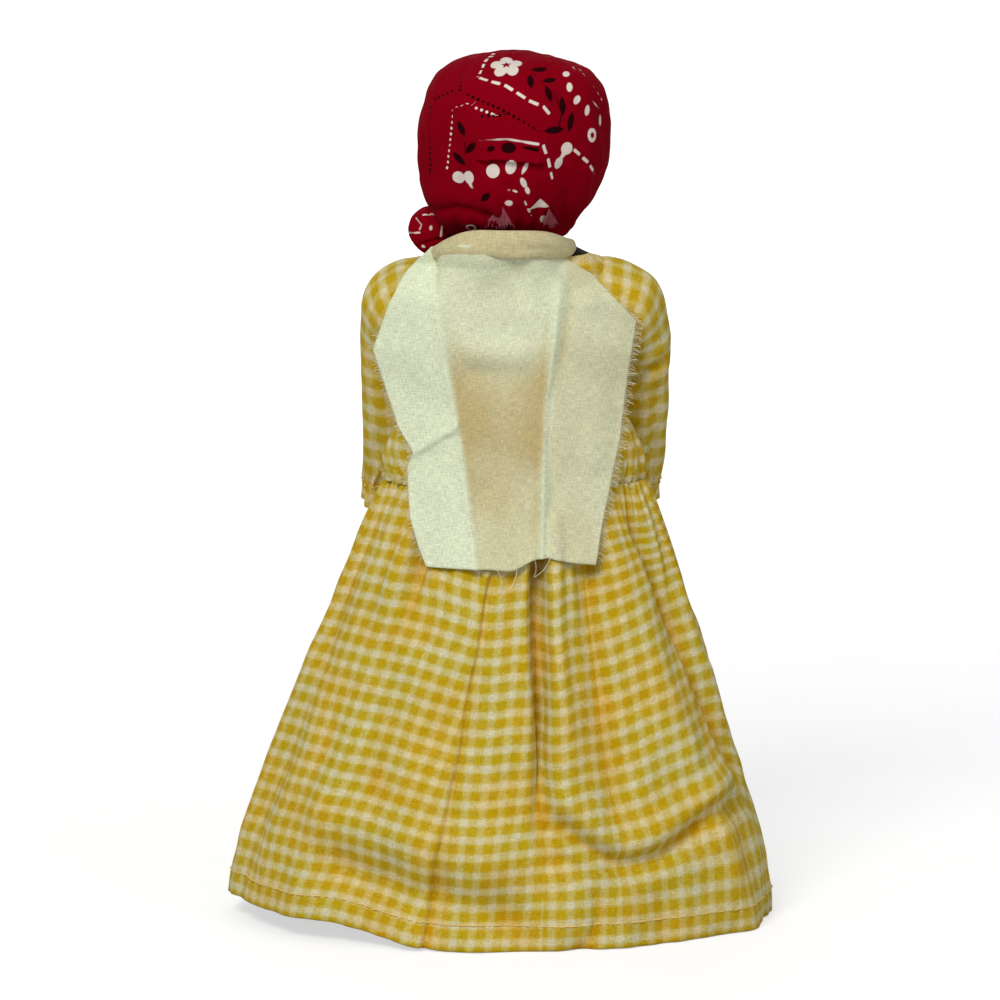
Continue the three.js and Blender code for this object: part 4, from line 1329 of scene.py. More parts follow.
@dataclass
class Sleeve:
    """A puffed sleeve: a cap round the shoulder, a tube, a gathered wrist and a short frill.

    Attributes:
        side: which arm.
        swing: degrees that the arm leans forward.
        reach: distance from the armpit across the sleeve, by how far it has turned down, in degrees.
        fullness: half the depth, front to back, by the same turn.
        tube: half widths of the tube, by depth under the shoulder.
        edge: how far the outer edge stands from the armhole.
        draw: how far the right wrist is drawn in towards the body.
        lap: how far the cap runs on over the bodice.
        twist: a width of the cap, from which two places are worked out that nothing further uses.
        stretch: how far the stuffed arm stretches the cloth, and with it the check.
        wrist: depth of the gathering thread under the shoulder.
        columns: columns of its mesh.
    """

    side: Side
    swing: float = 20.0
    reach: Curve = ((0, 32.0), (12, 31.2), (27, 30.4), (39, 28.6), (50, 26.5), (60, 24.3), (75, 22.2),
                    (90, 21.0))
    fullness: Curve = ((0, 16.2), (30, 16.0), (60, 13.4), (90, 11.6))
    tube: Curve = (
        (16, 10.5), (30, 10.5), (46, 10.6), (58, 9.9), (66, 8.4), (70, 6.9), (71.4, 6.6), (73, 7.0),
        (76, 7.9), (80, 8.5))
    edge: float = 21.4
    draw: float = 2.6
    lap: float = 5.5
    twist: float = 9.0
    stretch: float = 1.18
    wrist: float = 71.4
    columns: int = 96

    def _rings(self, angle: Array) -> list[Array]:
        """Rings in the arm's own frame, leftwards round as seen from above.

        Args:
            angle: angles round the sleeve.

        Returns:
            The rings, from the armhole down to the frill.
        """
        rings = []
        for bend in np.linspace(0, 90, 26):
            way = np.array([math.sin(math.radians(bend)), 0.0, math.cos(math.radians(bend))])
            pit = np.array([0.04 + 1.06 * bend / 90, 0.0, -15.6 - 1.6 * bend / 90])
            reach = float(spline(self.reach, bend))
            deep = float(spline(self.fullness, bend))
            along = 0.5 * reach * (1 + np.cos(angle))
            rings.append(pit + along[:, None] * way + np.outer(np.sin(angle) * deep, [0, 1, 0]))
        for down in np.linspace(17.8, 80, 76):
            half = float(spline(self.tube, down))
            deep = half + 0.9 * float(1 - ease(down, 20, 60))
            pinch = float(bell(down - self.wrist, 4.5)) + 0.35 * float(bell(down - 63, 8))
            pleats = 0.5 * pinch * np.cos(15 * angle + 1.0)
            pleats += 0.9 * float(ease(down, 72, 80)) * np.cos(8 * angle + 0.6)
            slack = 0.5 * float(bell(down - 56, 9)) * np.cos(6 * angle + 0.05 * down)
            slack += 0.35 * np.cos(4 * angle + 0.11 * down)
            grow = pleats + slack
            edge = self.edge + 0.75 * float(1 - ease(down, 17, 46))
            x = edge - half + (half + grow) * np.cos(angle)
            rings.append(np.stack([x, (deep + grow) * np.sin(angle), 0 * angle - down], -1))
        return rings

    def _seam(self, rim: Array, angle: Array) -> Array:
        """Rings that carry the cap on over the bodice's edge, round the armhole but not under the arm.

        Args:
            rim: the cap's own edge.
            angle: angles round it, 0 at the top.

        Returns:
            The rings, from the rim inwards.
        """
        depth = self.lap * ease(np.cos(angle), -0.8, 0.2)
        rings = []
        for share in (0.25, 0.5, 0.75, 1.0):
            ring = rim * np.array([1.0, 1.0 - 0.035 * share, 1.0 - 0.02 * share])
            ring[:, 0] -= share * depth
            rings.append(ring)
        return np.stack(rings)

    def _creases(self, points: Array, angle: Array) -> Array:
        """How far the right sleeve's creases stand out: one across its back and one down from it.

        Args:
            points: places in the left arm's own frame.
            angle: angles round the sleeve, positive at the back.

        Returns:
            Offsets in millimetres, 0 for the left sleeve.
        """
        if self.side is Side.LEFT:
            return 0.0 * points[..., 2]
        down = -points[..., 2]
        below = down - 15.0 - 5.0 * angle
        back = ease(angle, 0.0, 0.8) * (1 - ease(angle, 2.0, 2.8))
        across = 1.1 * bell(below - 5.0, 3.4) + 0.7 * bell(below + 4.6, 3.0) - 1.7 * bell(below, 1.9)
        tall = ease(down, 27, 36) * (1 - ease(down, 56, 68))
        return back * across + tall * (0.7 * bell(angle - 1.35, 0.22) - 1.3 * bell(angle - 0.95, 0.2))

    def place(self, points: Array) -> Array:
        """Carries points of the left arm's own frame to their place on this side.

        Args:
            points: places in the left arm's own frame.

        Returns:
            Places on this side's arm.
        """
        lean = math.radians(self.swing)
        c, s = math.cos(lean), math.sin(lean)
        x, y, z = points[..., 0], points[..., 1], points[..., 2]
        if self.side is Side.RIGHT:
            x = x - self.draw * ease(-z, 52, 77)
        turned = np.stack([self.side.value * x, c * y + s * z, c * z - s * y], -1)
        return turned + np.array([BODY_X + self.side.value * SHOULDER_X, 0.0, SHOULDER_Z])

    def build(self, wardrobe: Wardrobe, stitching: Stitching) -> None:
        """Makes the sleeve and the gathering thread at its wrist.

        Args:
            wardrobe: the doll's materials.
            stitching: the thread trees.
        """
        label = self.side.label
        angle = np.linspace(-np.pi, np.pi, self.columns, endpoint=False)
        outside = self.columns // 2
        points = np.stack(self._rings(angle))[::-1]
        soft = points
        for _ in range(40):
            middle = 0.25 * soft[:-2] + 0.5 * soft[1:-1] + 0.25 * soft[2:]
            soft = np.concatenate([soft[:1], middle, soft[-1:]])
        bend = bell(points[..., 2:] + 17.0, 11.0) * ease(points[..., :1], 3.0, 9.0)
        points = points + bend * (soft - points)
        wave = Ripple(31 + self.side.value, 9, 26, (1, 1, 1.5)).at(points) * 0.55
        calm = ease(points[..., 0], 1.0, 7.0)
        wave = wave + self._creases(points, angle)
        points = points + normals_of(points, True) * (wave * calm)[..., None]
        points[..., 0] = np.maximum(points[..., 0], 0.04)
        points = np.concatenate([points, self._seam(points[-1], angle)])
        ring = np.concatenate([points, points[:, :1]], axis=1)
        arc = lengths(ring, 1)
        rise = lengths(points[:, outside], 0)[:, None] + 0 * arc
        uv = np.stack([arc - arc[:, outside: outside + 1] + 1.6, rise], -1) / self.stretch
        if self.side is Side.RIGHT:
            points, uv = points[:, ::-1], uv[:, ::-1]
        cloth = grid(f"sleeve_cloth_{label}", self.place(points), uv, True)
        # Painted shade in the sleeve's folds, at less than full strength.
        folds = hollow_of(points if self.side is Side.LEFT else points[:, ::-1], 4, 1.2)
        tag(cloth, "hollow", 0.4 * folds.ravel())
        dress(cloth, wardrobe["gingham"], None, "gingham", f"sleeve_{label}")
        start, end = (self.place(share * np.array([0.74, 0.0, -0.44])) * MM for share in (-2.0, self.twist))
        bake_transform(cloth)
        row = int(np.argmin(np.abs(points[:, outside, 2] + self.wrist)))
        placed = self.place(points)
        square = normals_of(placed, True)
        thread = stitching.sew(f"wrist_stitches_{label}", stitching.stitches,
                               placed[row] + 0.25 * square[row], square[row], wardrobe["thread"],
                               closed=True, seed=9, step=1.9, length=1.4, thickness=0.36, bend=0.05,
                               spread=0.08, uneven=0.2)
        dress(thread, wardrobe["thread"], f"arm_{label}", "thread", f"wrist_thread_{label}")


# Shawl


def along(points: Sequence[Sequence[float]], count: int, closed: bool = False) -> Array:
    """A smooth path through points of any number of values.

    Args:
        points: the points.
        count: how many places to return.
        closed: whether the path meets its start.

    Returns:
        Places along the path.
    """
    given = np.array(points, float)
    if closed:
        given = np.concatenate([given[-2:], given, given[:3]])
        at = np.linspace(2, len(given) - 3, count, endpoint=False)
    else:
        given = np.concatenate([2 * given[:1] - given[1:2], given, 2 * given[-1:] - given[-2:-1]])
        at = np.linspace(1, len(given) - 2, count)
    i = np.clip(np.floor(at).astype(int), 1, len(given) - 3)
    s = (at - i)[:, None]
    a, b, c, d = given[i - 1], given[i], given[i + 1], given[i + 2]
    return 0.5 * (2 * b + (c - a) * s + (2 * a - 5 * b + 4 * c - d) * s**2 + (3 * b - a - 3 * c + d) * s**3)


def roll(name: str, path: Array, halves: Array, sides: int, relief: Outline) -> Piece:
    """A roll of cloth along a closed path, with an oval section that stands upright.

    Args:
        name: the object's name.
        path: the roll's middle.
        halves: half its height and half its thickness, at each place.
        sides: points round a section.
        relief: extra thickness by place along and angle round.

    Returns:
        The new object.
    """
    ahead = np.gradient(np.concatenate([path[-1:], path, path[:1]]), axis=0)[1:-1]
    ahead /= np.linalg.norm(ahead, axis=1, keepdims=True)
    side = np.cross(ahead, np.array([0.0, 0.0, 1.0]))
    side /= np.linalg.norm(side, axis=1, keepdims=True)
    rise = np.cross(side, ahead)
    angle = np.linspace(0, 2 * np.pi, sides, endpoint=False)
    grow = relief(np.arange(len(path))[:, None] / len(path), angle[None])
    tall = (halves[:, :1] + grow) * np.sin(angle)
    thick = (halves[:, 1:2] + grow) * np.cos(angle)
    points = path[:, None] + tall[..., None] * rise[:, None] + thick[..., None] * side[:, None]
    arc = lengths(np.concatenate([path, path[:1]]), 0)
    around = np.linspace(0, 2 * np.pi * float(halves.mean()), sides + 1)
    uv = np.stack(np.meshgrid(arc, around, indexing="ij"), -1)
    s, c = np.meshgrid(np.arange(len(path)), np.arange(sides), indexing="ij")
    s2, c2 = (s + 1) % len(path), (c + 1) % sides
    faces = np.stack([s * sides + c, s * sides + c2, s2 * sides + c2, s2 * sides + c], -1)[..., ::-1]
    corners = np.stack([uv[s, c], uv[s, c + 1], uv[s + 1, c + 1], uv[s + 1, c]], 2)[:, :, ::-1]
    return mesh_of(name, points.reshape(-1, 3), faces.reshape(-1, 4), corners.reshape(-1, 2))


def weld(piece: Piece) -> None:
    """Merges points that lie on each other, and turns all faces outwards.

    Args:
        piece: the object.
    """
    work = bmesh.new()
    work.from_mesh(piece.data)
    bmesh.ops.remove_doubles(work, verts=work.verts, dist=1e-6)
    bmesh.ops.dissolve_degenerate(work, edges=work.edges, dist=1e-7)
    bmesh.ops.recalc_face_normals(work, faces=work.faces)
    work.to_mesh(piece.data)
    work.free()


@dataclass
class Shawl:
    """The raw-edged back panel, its rolled collar and the knot over the breast.

    Attributes:
        left_edge: the panel's left edge, as height and X.
        right_edge: its right edge.
        hem: its lower edge, as X and height.
        hang: how far back its middle hangs, by height.
        left_crease: the pressed crease on the left, as height and X.
        right_crease: the pinched crease on the right.
        collar: the collar's middle, as X off the body, Y and Z, with its half height and half thickness.
        cloth: thickness of the muslin.
        stain: how much painted shade, darker and yellower, lies on the cloth between the creases, by height.
        collar_age: how much painted shade, darker and yellower, lies on the collar.
    """

    left_edge: Curve = (
        (130, 25.6), (137, 28.6), (147.5, 31.8), (164.5, 32.8), (170, 30.6), (178.4, 36.0), (192.2, 40.6),
        (205.2, 44.9), (222.4, 38.9), (232.6, 33.5), (239.8, 26.1), (243, 23.0))
    right_edge: Curve = (
        (130, -33.4), (147.5, -36.4), (174.8, -42.4), (198, -45.3), (216, -48.1), (232.6, -32.1),
        (237.7, -23.6), (243, -19.5))
    hem: Curve = ((-34, 131.9), (-24, 133.2), (-15.1, 135.0), (-3, 130.7), (8.7, 131.2), (26, 130.9))
    hang: Curve = (
        (130, 40.4), (145, 34.6), (160, 30.2), (176, 27.0), (190, 25.0), (205, 25.2), (218, 23.6),
        (230, 22.8), (240, 24.6), (244, 26))
    left_crease: Curve = ((131, 8.7), (175, 14.4), (202, 19.0), (234, 24.0), (244, 25.0))
    right_crease: Curve = ((131, -15.1), (182, -16.5), (213.5, -19.7), (234, -21.5), (244, -22.0))
    collar: Sequence[tuple[float, float, float, float, float]] = (
        (4, 27.0, 244.6, 4.9, 2.3), (16, 23.6, 243.8, 4.7, 2.2), (26.2, 15.6, 240.4, 3.0, 1.8),
        (26.6, 6.0, 238.8, 1.8, 1.8), (18, -12.5, 236.5, 2.2, 2.2), (0, -23.4, 233.0, 2.5, 2.2),
        (-16, -14.0, 236.6, 2.2, 2.2), (-19.9, 1.5, 240.4, 2.0, 2.0), (-18.0, 14.0, 241.4, 3.6, 2.2),
        (-9.6, 23.4, 244.0, 4.9, 2.3))
    cloth: float = 0.5
    stain: Curve = (
        (130, 0.40), (158, 0.64), (175, 0.76), (194, 0.74), (203, 0.46), (213, 0.16), (245, 0.14))
    collar_age: float = 0.80

    def _panel(self) -> Array:
        """The panel's outer face, laid over what is built under it.

        Returns:
            Points by row, from its hem up, and column, from the doll's left.
        """
        across = np.linspace(0, 1, 131)[None]
        up = np.linspace(0, 1, 151)[:, None]
        guess = 26.0 - 59.5 * across
        low = spline(self.hem, guess)
        corner = 28.0 - 43.0 * across
        top = 242.0 + 2.2 * ease(corner, 0, 12) - 2.4 * ease(corner, 17, 27)
        z = low + (top - low) * up
        left = np.interp(z, *np.array(self.left_edge).T)
        right = np.interp(z, *np.array(self.right_edge).T)
        x = left + (right - left) * across
        y = spline(self.hang, z)
        fold = x - spline(self.left_crease, z)
        pinch = x - spline(self.right_crease, z)
        y -= 0.34 * np.maximum(fold, 0.0) + 0.004 * np.maximum(fold, 0) ** 2
        y += (0.9 * bell(fold, 1.6) - 0.8 * bell(fold + 5.0, 3.4) * (fold < 0)) * (1 - ease(z, 222, 234))
        y -= 0.20 * np.maximum(-pinch, 0.0) + 0.004 * np.maximum(-pinch, 0) ** 2
        low_part = 1.0 - 0.55 * ease(z, 205, 232)
        y += low_part * (2.1 * bell(pinch - 0.4, 1.5) - 0.9 * bell(pinch + 4.0, 2.6))
        middle = ease(x, -17, -8) * (1 - ease(x, 8, 16))
        swell = 1.5 * bell(z - 205, 5) - 1.7 * bell(z - 186, 12) + 0.7 * bell(z - 219, 6)
        y += middle * (swell - 0.7 * bell(z - 177, 1.6))
        notch = ((z - 170.0) - 0.66 * (30.4 - x)) / 1.2
        y += (1.9 * bell(notch, 1.9) - 1.2 * bell(notch + 5, 3.4)) * ease(x, 12.5, 16.5)
        fold_right = z - 179.6 - 0.15 * (x + 15.4)
        y += (0.8 * bell(fold_right, 1.8) - 0.5 * bell(fold_right + 5, 3)) * ease(-x, 15, 18)
        y += 0.4 * np.cos(0.62 * x + 0.8) * ease(z, 214, 234)
        y += ease(z, 222, 238) * (self._under_collar(x - BODY_X, y, z) - y)
        edge = np.minimum(across, 1 - across) * 80
        points = np.stack([x, y, z], -1)
        y += Ripple(41, 14, 40).at(points) * 0.55 + Ripple(42, 5, 12).at(points) * 0.16 * bell(edge, 10)
        under = back_of(("skirt_cloth", "bodice_cloth", "sleeve_cloth_left", "sleeve_cloth_right"), x, z)
        wide = np.pad(under, 3, mode="edge")
        rows, columns = under.shape
        steps = [(i, k) for i in range(7) for k in range(7) if math.hypot(i - 3, k - 3) <= 3.2]
        spread = np.max([wide[i: i + rows, k: k + columns] for i, k in steps], axis=0)
        soft = np.pad(np.maximum(spread, y - 30.0), 4, mode="edge")
        clear = np.mean([soft[i: i + rows, k: k + columns] for i in range(9) for k in range(9)], axis=0)
        clear = np.maximum(clear, under + 0.2) + 1.1
        points[..., 1] = clear + np.logaddexp(0, (y - clear) / 0.4) * 0.4
        return points

    def _under_collar(self, x: Array, y: Array, z: Array) -> Array:
        """Where the panel's top lies: over the collar's lower half on the left, tucked in on the right.

        Args:
            x: places off the body's middle.
            y: how far back the panel would hang.
            z: heights.

        Returns:
            How far back it lies.
        """
        ring = along(self.collar, 220, True)
        back = ring[ring[:, 1] > 6.0]
        back = back[np.argsort(back[:, 0])]
        rest, level, tall, thick = (np.interp(x, back[:, 0], back[:, k]) for k in range(1, 5))
        over = rest + thick * np.maximum(1 - ((z - level) / (1.8 * tall)) ** 2, 0.0) + 0.25
        lap = ease(x, -2, 12)
        return lap * over + (1 - lap) * np.minimum(y, rest - 0.6)

    def _aged(self, points: Array) -> Array:
        """How much painted shade, darker and yellower, lies on the panel: most between its creases and deep in
        its folds.

        Args:
            points: the panel's outer face.

        Returns:
            Values from 0 to 1.
        """
        x, z = points[..., 0], points[..., 2]
        past_left = spline(self.left_crease, z) - x
        past_right = x - spline(self.right_crease, z)
        # Painted shade: the strip between the creases by height, the right part and the folds, unevenly, with
        # a little over the whole panel.
        between = ease(past_left, -0.5, 2.4) * ease(past_right, -1.5, 3.0) * spline(self.stain, z)
        right = 0.36 * ease(-past_right, 0.0, 3.0)
        cloudy = 1 + 0.18 * Ripple(43, 16, 44).at(points)
        deep = 0.16 * hollow_of(points, 4, 1.4, False) * (1 - ease(z, 216, 226))
        return np.clip(0.12 + (between + right) * cloudy + deep, 0, 1)

    def _knot(self, wardrobe: Wardrobe) -> None:
        """Makes the flat knot over the breast, with its two short corners.

        Args:
            wardrobe: the doll's materials.
        """
        low, high = (1000 * np.array(v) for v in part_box("shawl_knot"))
        middle = np.array([(low[0] + high[0]) / 2, low[1] + 2.6, high[2] - 3.6])
        angle = np.linspace(0, 2 * np.pi, 40, endpoint=False)
        turns = []
        for height in np.linspace(-1, 1, 25):
            size = math.sqrt(max(1e-4, 1 - height**2))
            groove = 1 - 0.2 * bell(np.sin(angle + 2.4 * height), 0.22)
            wide, deep = 4.3 * size * groove, 2.5 * size * groove
            ring = np.stack([wide * np.cos(angle), deep * np.sin(angle), 0 * angle + 3.4 * height], -1)
            turns.append(middle + ring)
        down, across = np.meshgrid(np.linspace(0, 8, 25), np.linspace(0, 22, 41), indexing="ij")
        knot = grid("shawl_knot_turns", np.stack(turns), np.stack([across, down], -1), True)
        weld(knot)
        dress(knot, wardrobe["muslin"], "torso", "muslin", "shawl_knot")
        for side in Side:
            s = np.linspace(0, 1, 31)[:, None]
            t = np.linspace(-1, 1, 25)[None]
            wide = 0.9 + 3.1 * s
            x = middle[0] + side.value * (1.0 + 4.4 * s) + wide * t
            z = middle[2] - 1.5 - 11.5 * s - 1.6 * side.value * t * s
            y = middle[1] - 0.6 + 1.2 * s + 0.7 * np.cos(4.0 * t) * (1 - 0.4 * s) + 0.3 * side.value * t
            sheet = np.stack([x + 0 * z, y + 0 * z, z], -1)[::-1]
            flat = np.stack([wide[::-1] * t, 13 * s[::-1] + 0 * t], -1)
            end = grid(f"shawl_corner_{side.label}", sheet, flat)
            thicken(end, self.cloth)
            dress(end, wardrobe["muslin"], "torso", "muslin")

    def build(self, wardrobe: Wardrobe, stitching: Stitching) -> None:
        """Makes the shawl.

        Args:
            wardrobe: the doll's materials.
            stitching: the thread trees.
        """
        points = self._panel()
        panel = grid("shawl_panel", points, np.stack([-points[..., 0], lengths(points, 0)], -1))
        # Painted shade of the panel, for its material.
        tag(panel, "hollow", self._aged(points).ravel())
        thicken(panel, self.cloth)
        dress(panel, wardrobe["muslin"], "torso", "muslin", "shawl")

        ring = along(self.collar, 220, True)
        path = ring[:, :3] + np.array([BODY_X, 0, 0])

        def creased(place: Array, angle: Array) -> Array:
            """Soft creases along the roll.

            Args:
                place: places along it, 0 to 1.
                angle: angles round it.

            Returns:
                Extra thickness in millimetres.
            """
            drawn = 0.25 * np.cos(2 * np.pi * 7 * place + 2.2 * np.sin(2 * angle))
            drawn = drawn * bell(np.sin(angle) + 0.9, 0.6)
            groove = 0.5 * bell(np.sin(angle) + 0.3, 0.2) * bell((place + 0.6) % 1.0 - 0.52, 0.07)
            return drawn - groove + 0.2 * np.cos(3 * angle + 2 * np.pi * 3 * place)

        collar = roll("shawl_collar", path, ring[:, 3:5], 36, creased)
        # Painted shade over the whole collar.
        tag(collar, "hollow", np.full(len(collar.data.vertices), self.collar_age))
        dress(collar, wardrobe["muslin"], "torso", "muslin")

        edges = {"left": (points[:, 0], 1.0, 0.7, 1.3, 108), "right": (points[:, -1], -1.0, 0.55, 2.1, 122)}
        for label, (edge, sign, step, length, top) in edges.items():
            run = edge[4:top]
            down = np.linspace(-0.55, -0.25, len(run))
            out = np.stack([np.full(len(run), sign), np.full(len(run), -0.12), down], -1)
            fringe = stitching.sew(f"shawl_fringe_{label}", stitching.fringe, run, out,
                                   wardrobe["pale_thread"], closed=False, seed=13, step=step, length=length,
                                   thickness=0.17, bend=0.35, spread=0.42, uneven=0.6)
            dress(fringe, wardrobe["pale_thread"], "torso", "muslin")
        low = points[0, 40:96]
        drop = np.zeros_like(low) + np.array([0.25, 0.1, -1.0])
        loose = stitching.sew("shawl_loose_threads", stitching.fringe, low, drop, wardrobe["pale_thread"],
                              closed=False, seed=17, step=6.5, length=6.5, thickness=0.2, bend=1.2,
                              spread=0.5, uneven=0.6)
        dress(loose, wardrobe["pale_thread"], "torso", "muslin")
        self._knot(wardrobe)


# Head and kerchief


@dataclass
class Print:
    """The kerchief's two-ink print: flowers, leaves, dashes and rows of dots, each seated on the cloth.

    Attributes:
        seat: finds a motif's place on the cloth, and the direction off it, from where it is seen from behind.
        points: the cloth's points, one to a row.
        shapes: for each ink, the points' distances to its motifs.
        rows: for each ink, distances beside and along its rows of dots, and 1 where a row is near.
    """

    seat: Callable[[float, float, bool], tuple[Array, Array]]
    points: Array
    shapes: dict[str, Array] = field(init=False)
    rows: dict[str, Array] = field(init=False)

    def __post_init__(self) -> None:
        """Starts with bare cloth."""
        count = len(self.points)
        self.shapes = {name: np.full(count, 9.0) for name in ("white", "black")}
        self.rows = {name: np.tile([9.0, 0.0, 0.0], (count, 1)) for name in self.shapes}

    def stamp(self, name: str, x: float, h: float, shape: Outline, turn: float = 0.0,
              front: bool = False) -> None:
        """Prints one motif.

        Args:
            name: the ink.
            x: the motif's place off the body's middle, as seen.
            h: its height, as seen.
            shape: distance to its outline from places to the right and up.
            turn: degrees that it is turned.
            front: whether it lies on the front.
        """
        middle, square = self.seat(x, h, front)
        right = np.cross([0.0, 0.0, 1.0], square)
        right /= np.linalg.norm(right)
        up = np.cross(square, right)
        off = self.points - middle
        near = np.nonzero(np.einsum("ij,ij->i", off, off) < 140.0)[0]
        a, b = off[near] @ right, off[near] @ up
        c, s = math.cos(math.radians(turn)), math.sin(math.radians(turn))
        ink = self.shapes[name]
        ink[near] = np.minimum(ink[near], shape(c * a + s * b, c * b - s * a))

    def _path(self, seen: Curve, front: bool) -> tuple[Array, Array]:
        """Follows a seen line over the cloth.

        Args:
            seen: the line's corners, as seen.
            front: whether it lies on the front.

        Returns:
            Places close together along it, and the directions off the cloth there.
        """
        places, squares = [], []
        for (x0, h0), (x1, h1) in zip(seen, seen[1:]):
            for share in np.linspace(0, 1, 24, endpoint=False):
                place, square = self.seat(x0 + (x1 - x0) * share, h0 + (h1 - h0) * share, front)
                places.append(place)
                squares.append(square)
        return np.array(places), np.array(squares)

    def _to_line(self, places: Array, squares: Array) -> tuple[Array, Array]:
        """Measures the cloth's points from a line on it.

        Args:
            places: places along the line.
            squares: directions off the cloth there.

        Returns:
            How far each point lies beside the line, with the side's sign, and how far along it.
        """
        arc = lengths(places, 0)
        best = np.full(len(self.points), 1e9)
        beside = np.full(len(self.points), 9.0)
        place_along = np.zeros(len(self.points))
        for i in range(len(places) - 1):
            step = places[i + 1] - places[i]
            length = np.linalg.norm(step)
            if length < 1e-6:
                continue
            off = self.points - places[i]
            near = np.nonzero(np.einsum("ij,ij->i", off, off) < 36.0)[0]
            share = np.clip(off[near] @ step / length**2, 0, 1)
            gap = off[near] - share[:, None] * step
            far = np.linalg.norm(gap, axis=1)
            sign = np.sign(gap @ np.cross(squares[i], step))
            closer = far < best[near]
            kept = near[closer]
            best[kept] = far[closer]
            beside[kept] = (far * np.where(sign == 0, 1, sign))[closer]
            place_along[kept] = arc[i] + share[closer] * length
        return beside, place_along

    def dots(self, name: str, seen: Curve, front: bool = False) -> None:
        """Prints a row of dots along a seen line.

        Args:
            name: the ink.
            seen: the line's corners, as seen.
            front: whether it lies on the front.
        """
        beside, place_along = self._to_line(*self._path(seen, front))
        closer = np.abs(beside) < np.abs(self.rows[name][:, 0])
        self.rows[name][closer, 0] = beside[closer]
        self.rows[name][closer, 1] = place_along[closer]
        self.rows[name][closer, 2] = np.where(np.abs(beside[closer]) < 2.5, 1.0, 0.0)

    def stroke(self, name: str, seen: Curve, half: float, front: bool = False,
               dash: float = 0.0, pitch: float = 5.2) -> None:
        """Prints a line, or dashes along it.

        Args:
            name: the ink.
            seen: the line's corners, as seen.
            half: half its width.
            front: whether it lies on the front.
            dash: length of a dash, or 0 for a whole line.
            pitch: distance between dashes.
        """
        beside, place_along = self._to_line(*self._path(seen, front))
        over = np.abs(beside) - half
        if dash:
            turn = np.abs(place_along % pitch - pitch / 2) - dash / 2
            over = np.maximum(over, turn)
        self.shapes[name] = np.minimum(self.shapes[name], over)

    def store(self, piece: Piece) -> None:
        """Writes the print onto the piece, for its material."""
        for name, shape in self.shapes.items():
            tag(piece, name + "_shape", shape)
            tag(piece, name + "_row", self.rows[name])


def oval(wide: float, tall: float) -> Outline:
    """The outline of an oval."""
    return lambda a, b: (np.hypot(a / wide, b / tall) - 1.0) * min(wide, tall)


def leaf(length: float, half: float) -> Outline:
    """The outline of a pointed leaf that lies along the first direction.

    Args:
        length: the leaf's length.
        half: half its width.

    Returns:
        Distance to its outline from places to the right and up.
    """

    def outline(a: Array, b: Array) -> Array:
        """Distance to the leaf's edge, which counts less past its tips."""
        past = np.maximum(np.abs(a) - length / 2, 0)
        return np.abs(b) - half * (1.0 - (2.0 * a / length) ** 2) + 0.25 * past

    return outline


def hoop(radius: float, half: float) -> Outline:
    """The outline of a ring."""
    return lambda a, b: np.abs(np.hypot(a, b) - radius) - half


def blossom(radius: float, petals: int = 5, eye: float = 0.3) -> Outline:
    """The outline of a flower with an open star in its middle.

    Args:
        radius: the flower's radius.
        petals: how many petals it has.
        eye: size of the star, as a share of the radius.

    Returns:
        Distance to its outline from places to the right and up.
    """

    def outline(a: Array, b: Array) -> Array:
        """Distance to the petals' edge.

        Args:
            a: places to the right.
            b: places up.

        Returns:
            Distances, less than 0 on the ink.
        """
        away = np.full_like(a, 9.0)
        for k in range(petals):
            angle = 2 * np.pi * (k + 0.25) / petals
            right, up = 0.6 * radius * math.cos(angle), 0.6 * radius * math.sin(angle)
            away = np.minimum(away, np.hypot(a - right, b - up) - 0.38 * radius)
        turn = np.arctan2(b, a)
        star = np.hypot(a, b) - eye * radius * (0.72 + 0.3 * np.cos(petals * (turn - np.pi / 2)))
        return np.maximum(np.minimum(away, np.hypot(a, b) - 0.4 * radius), -star)

    return outline


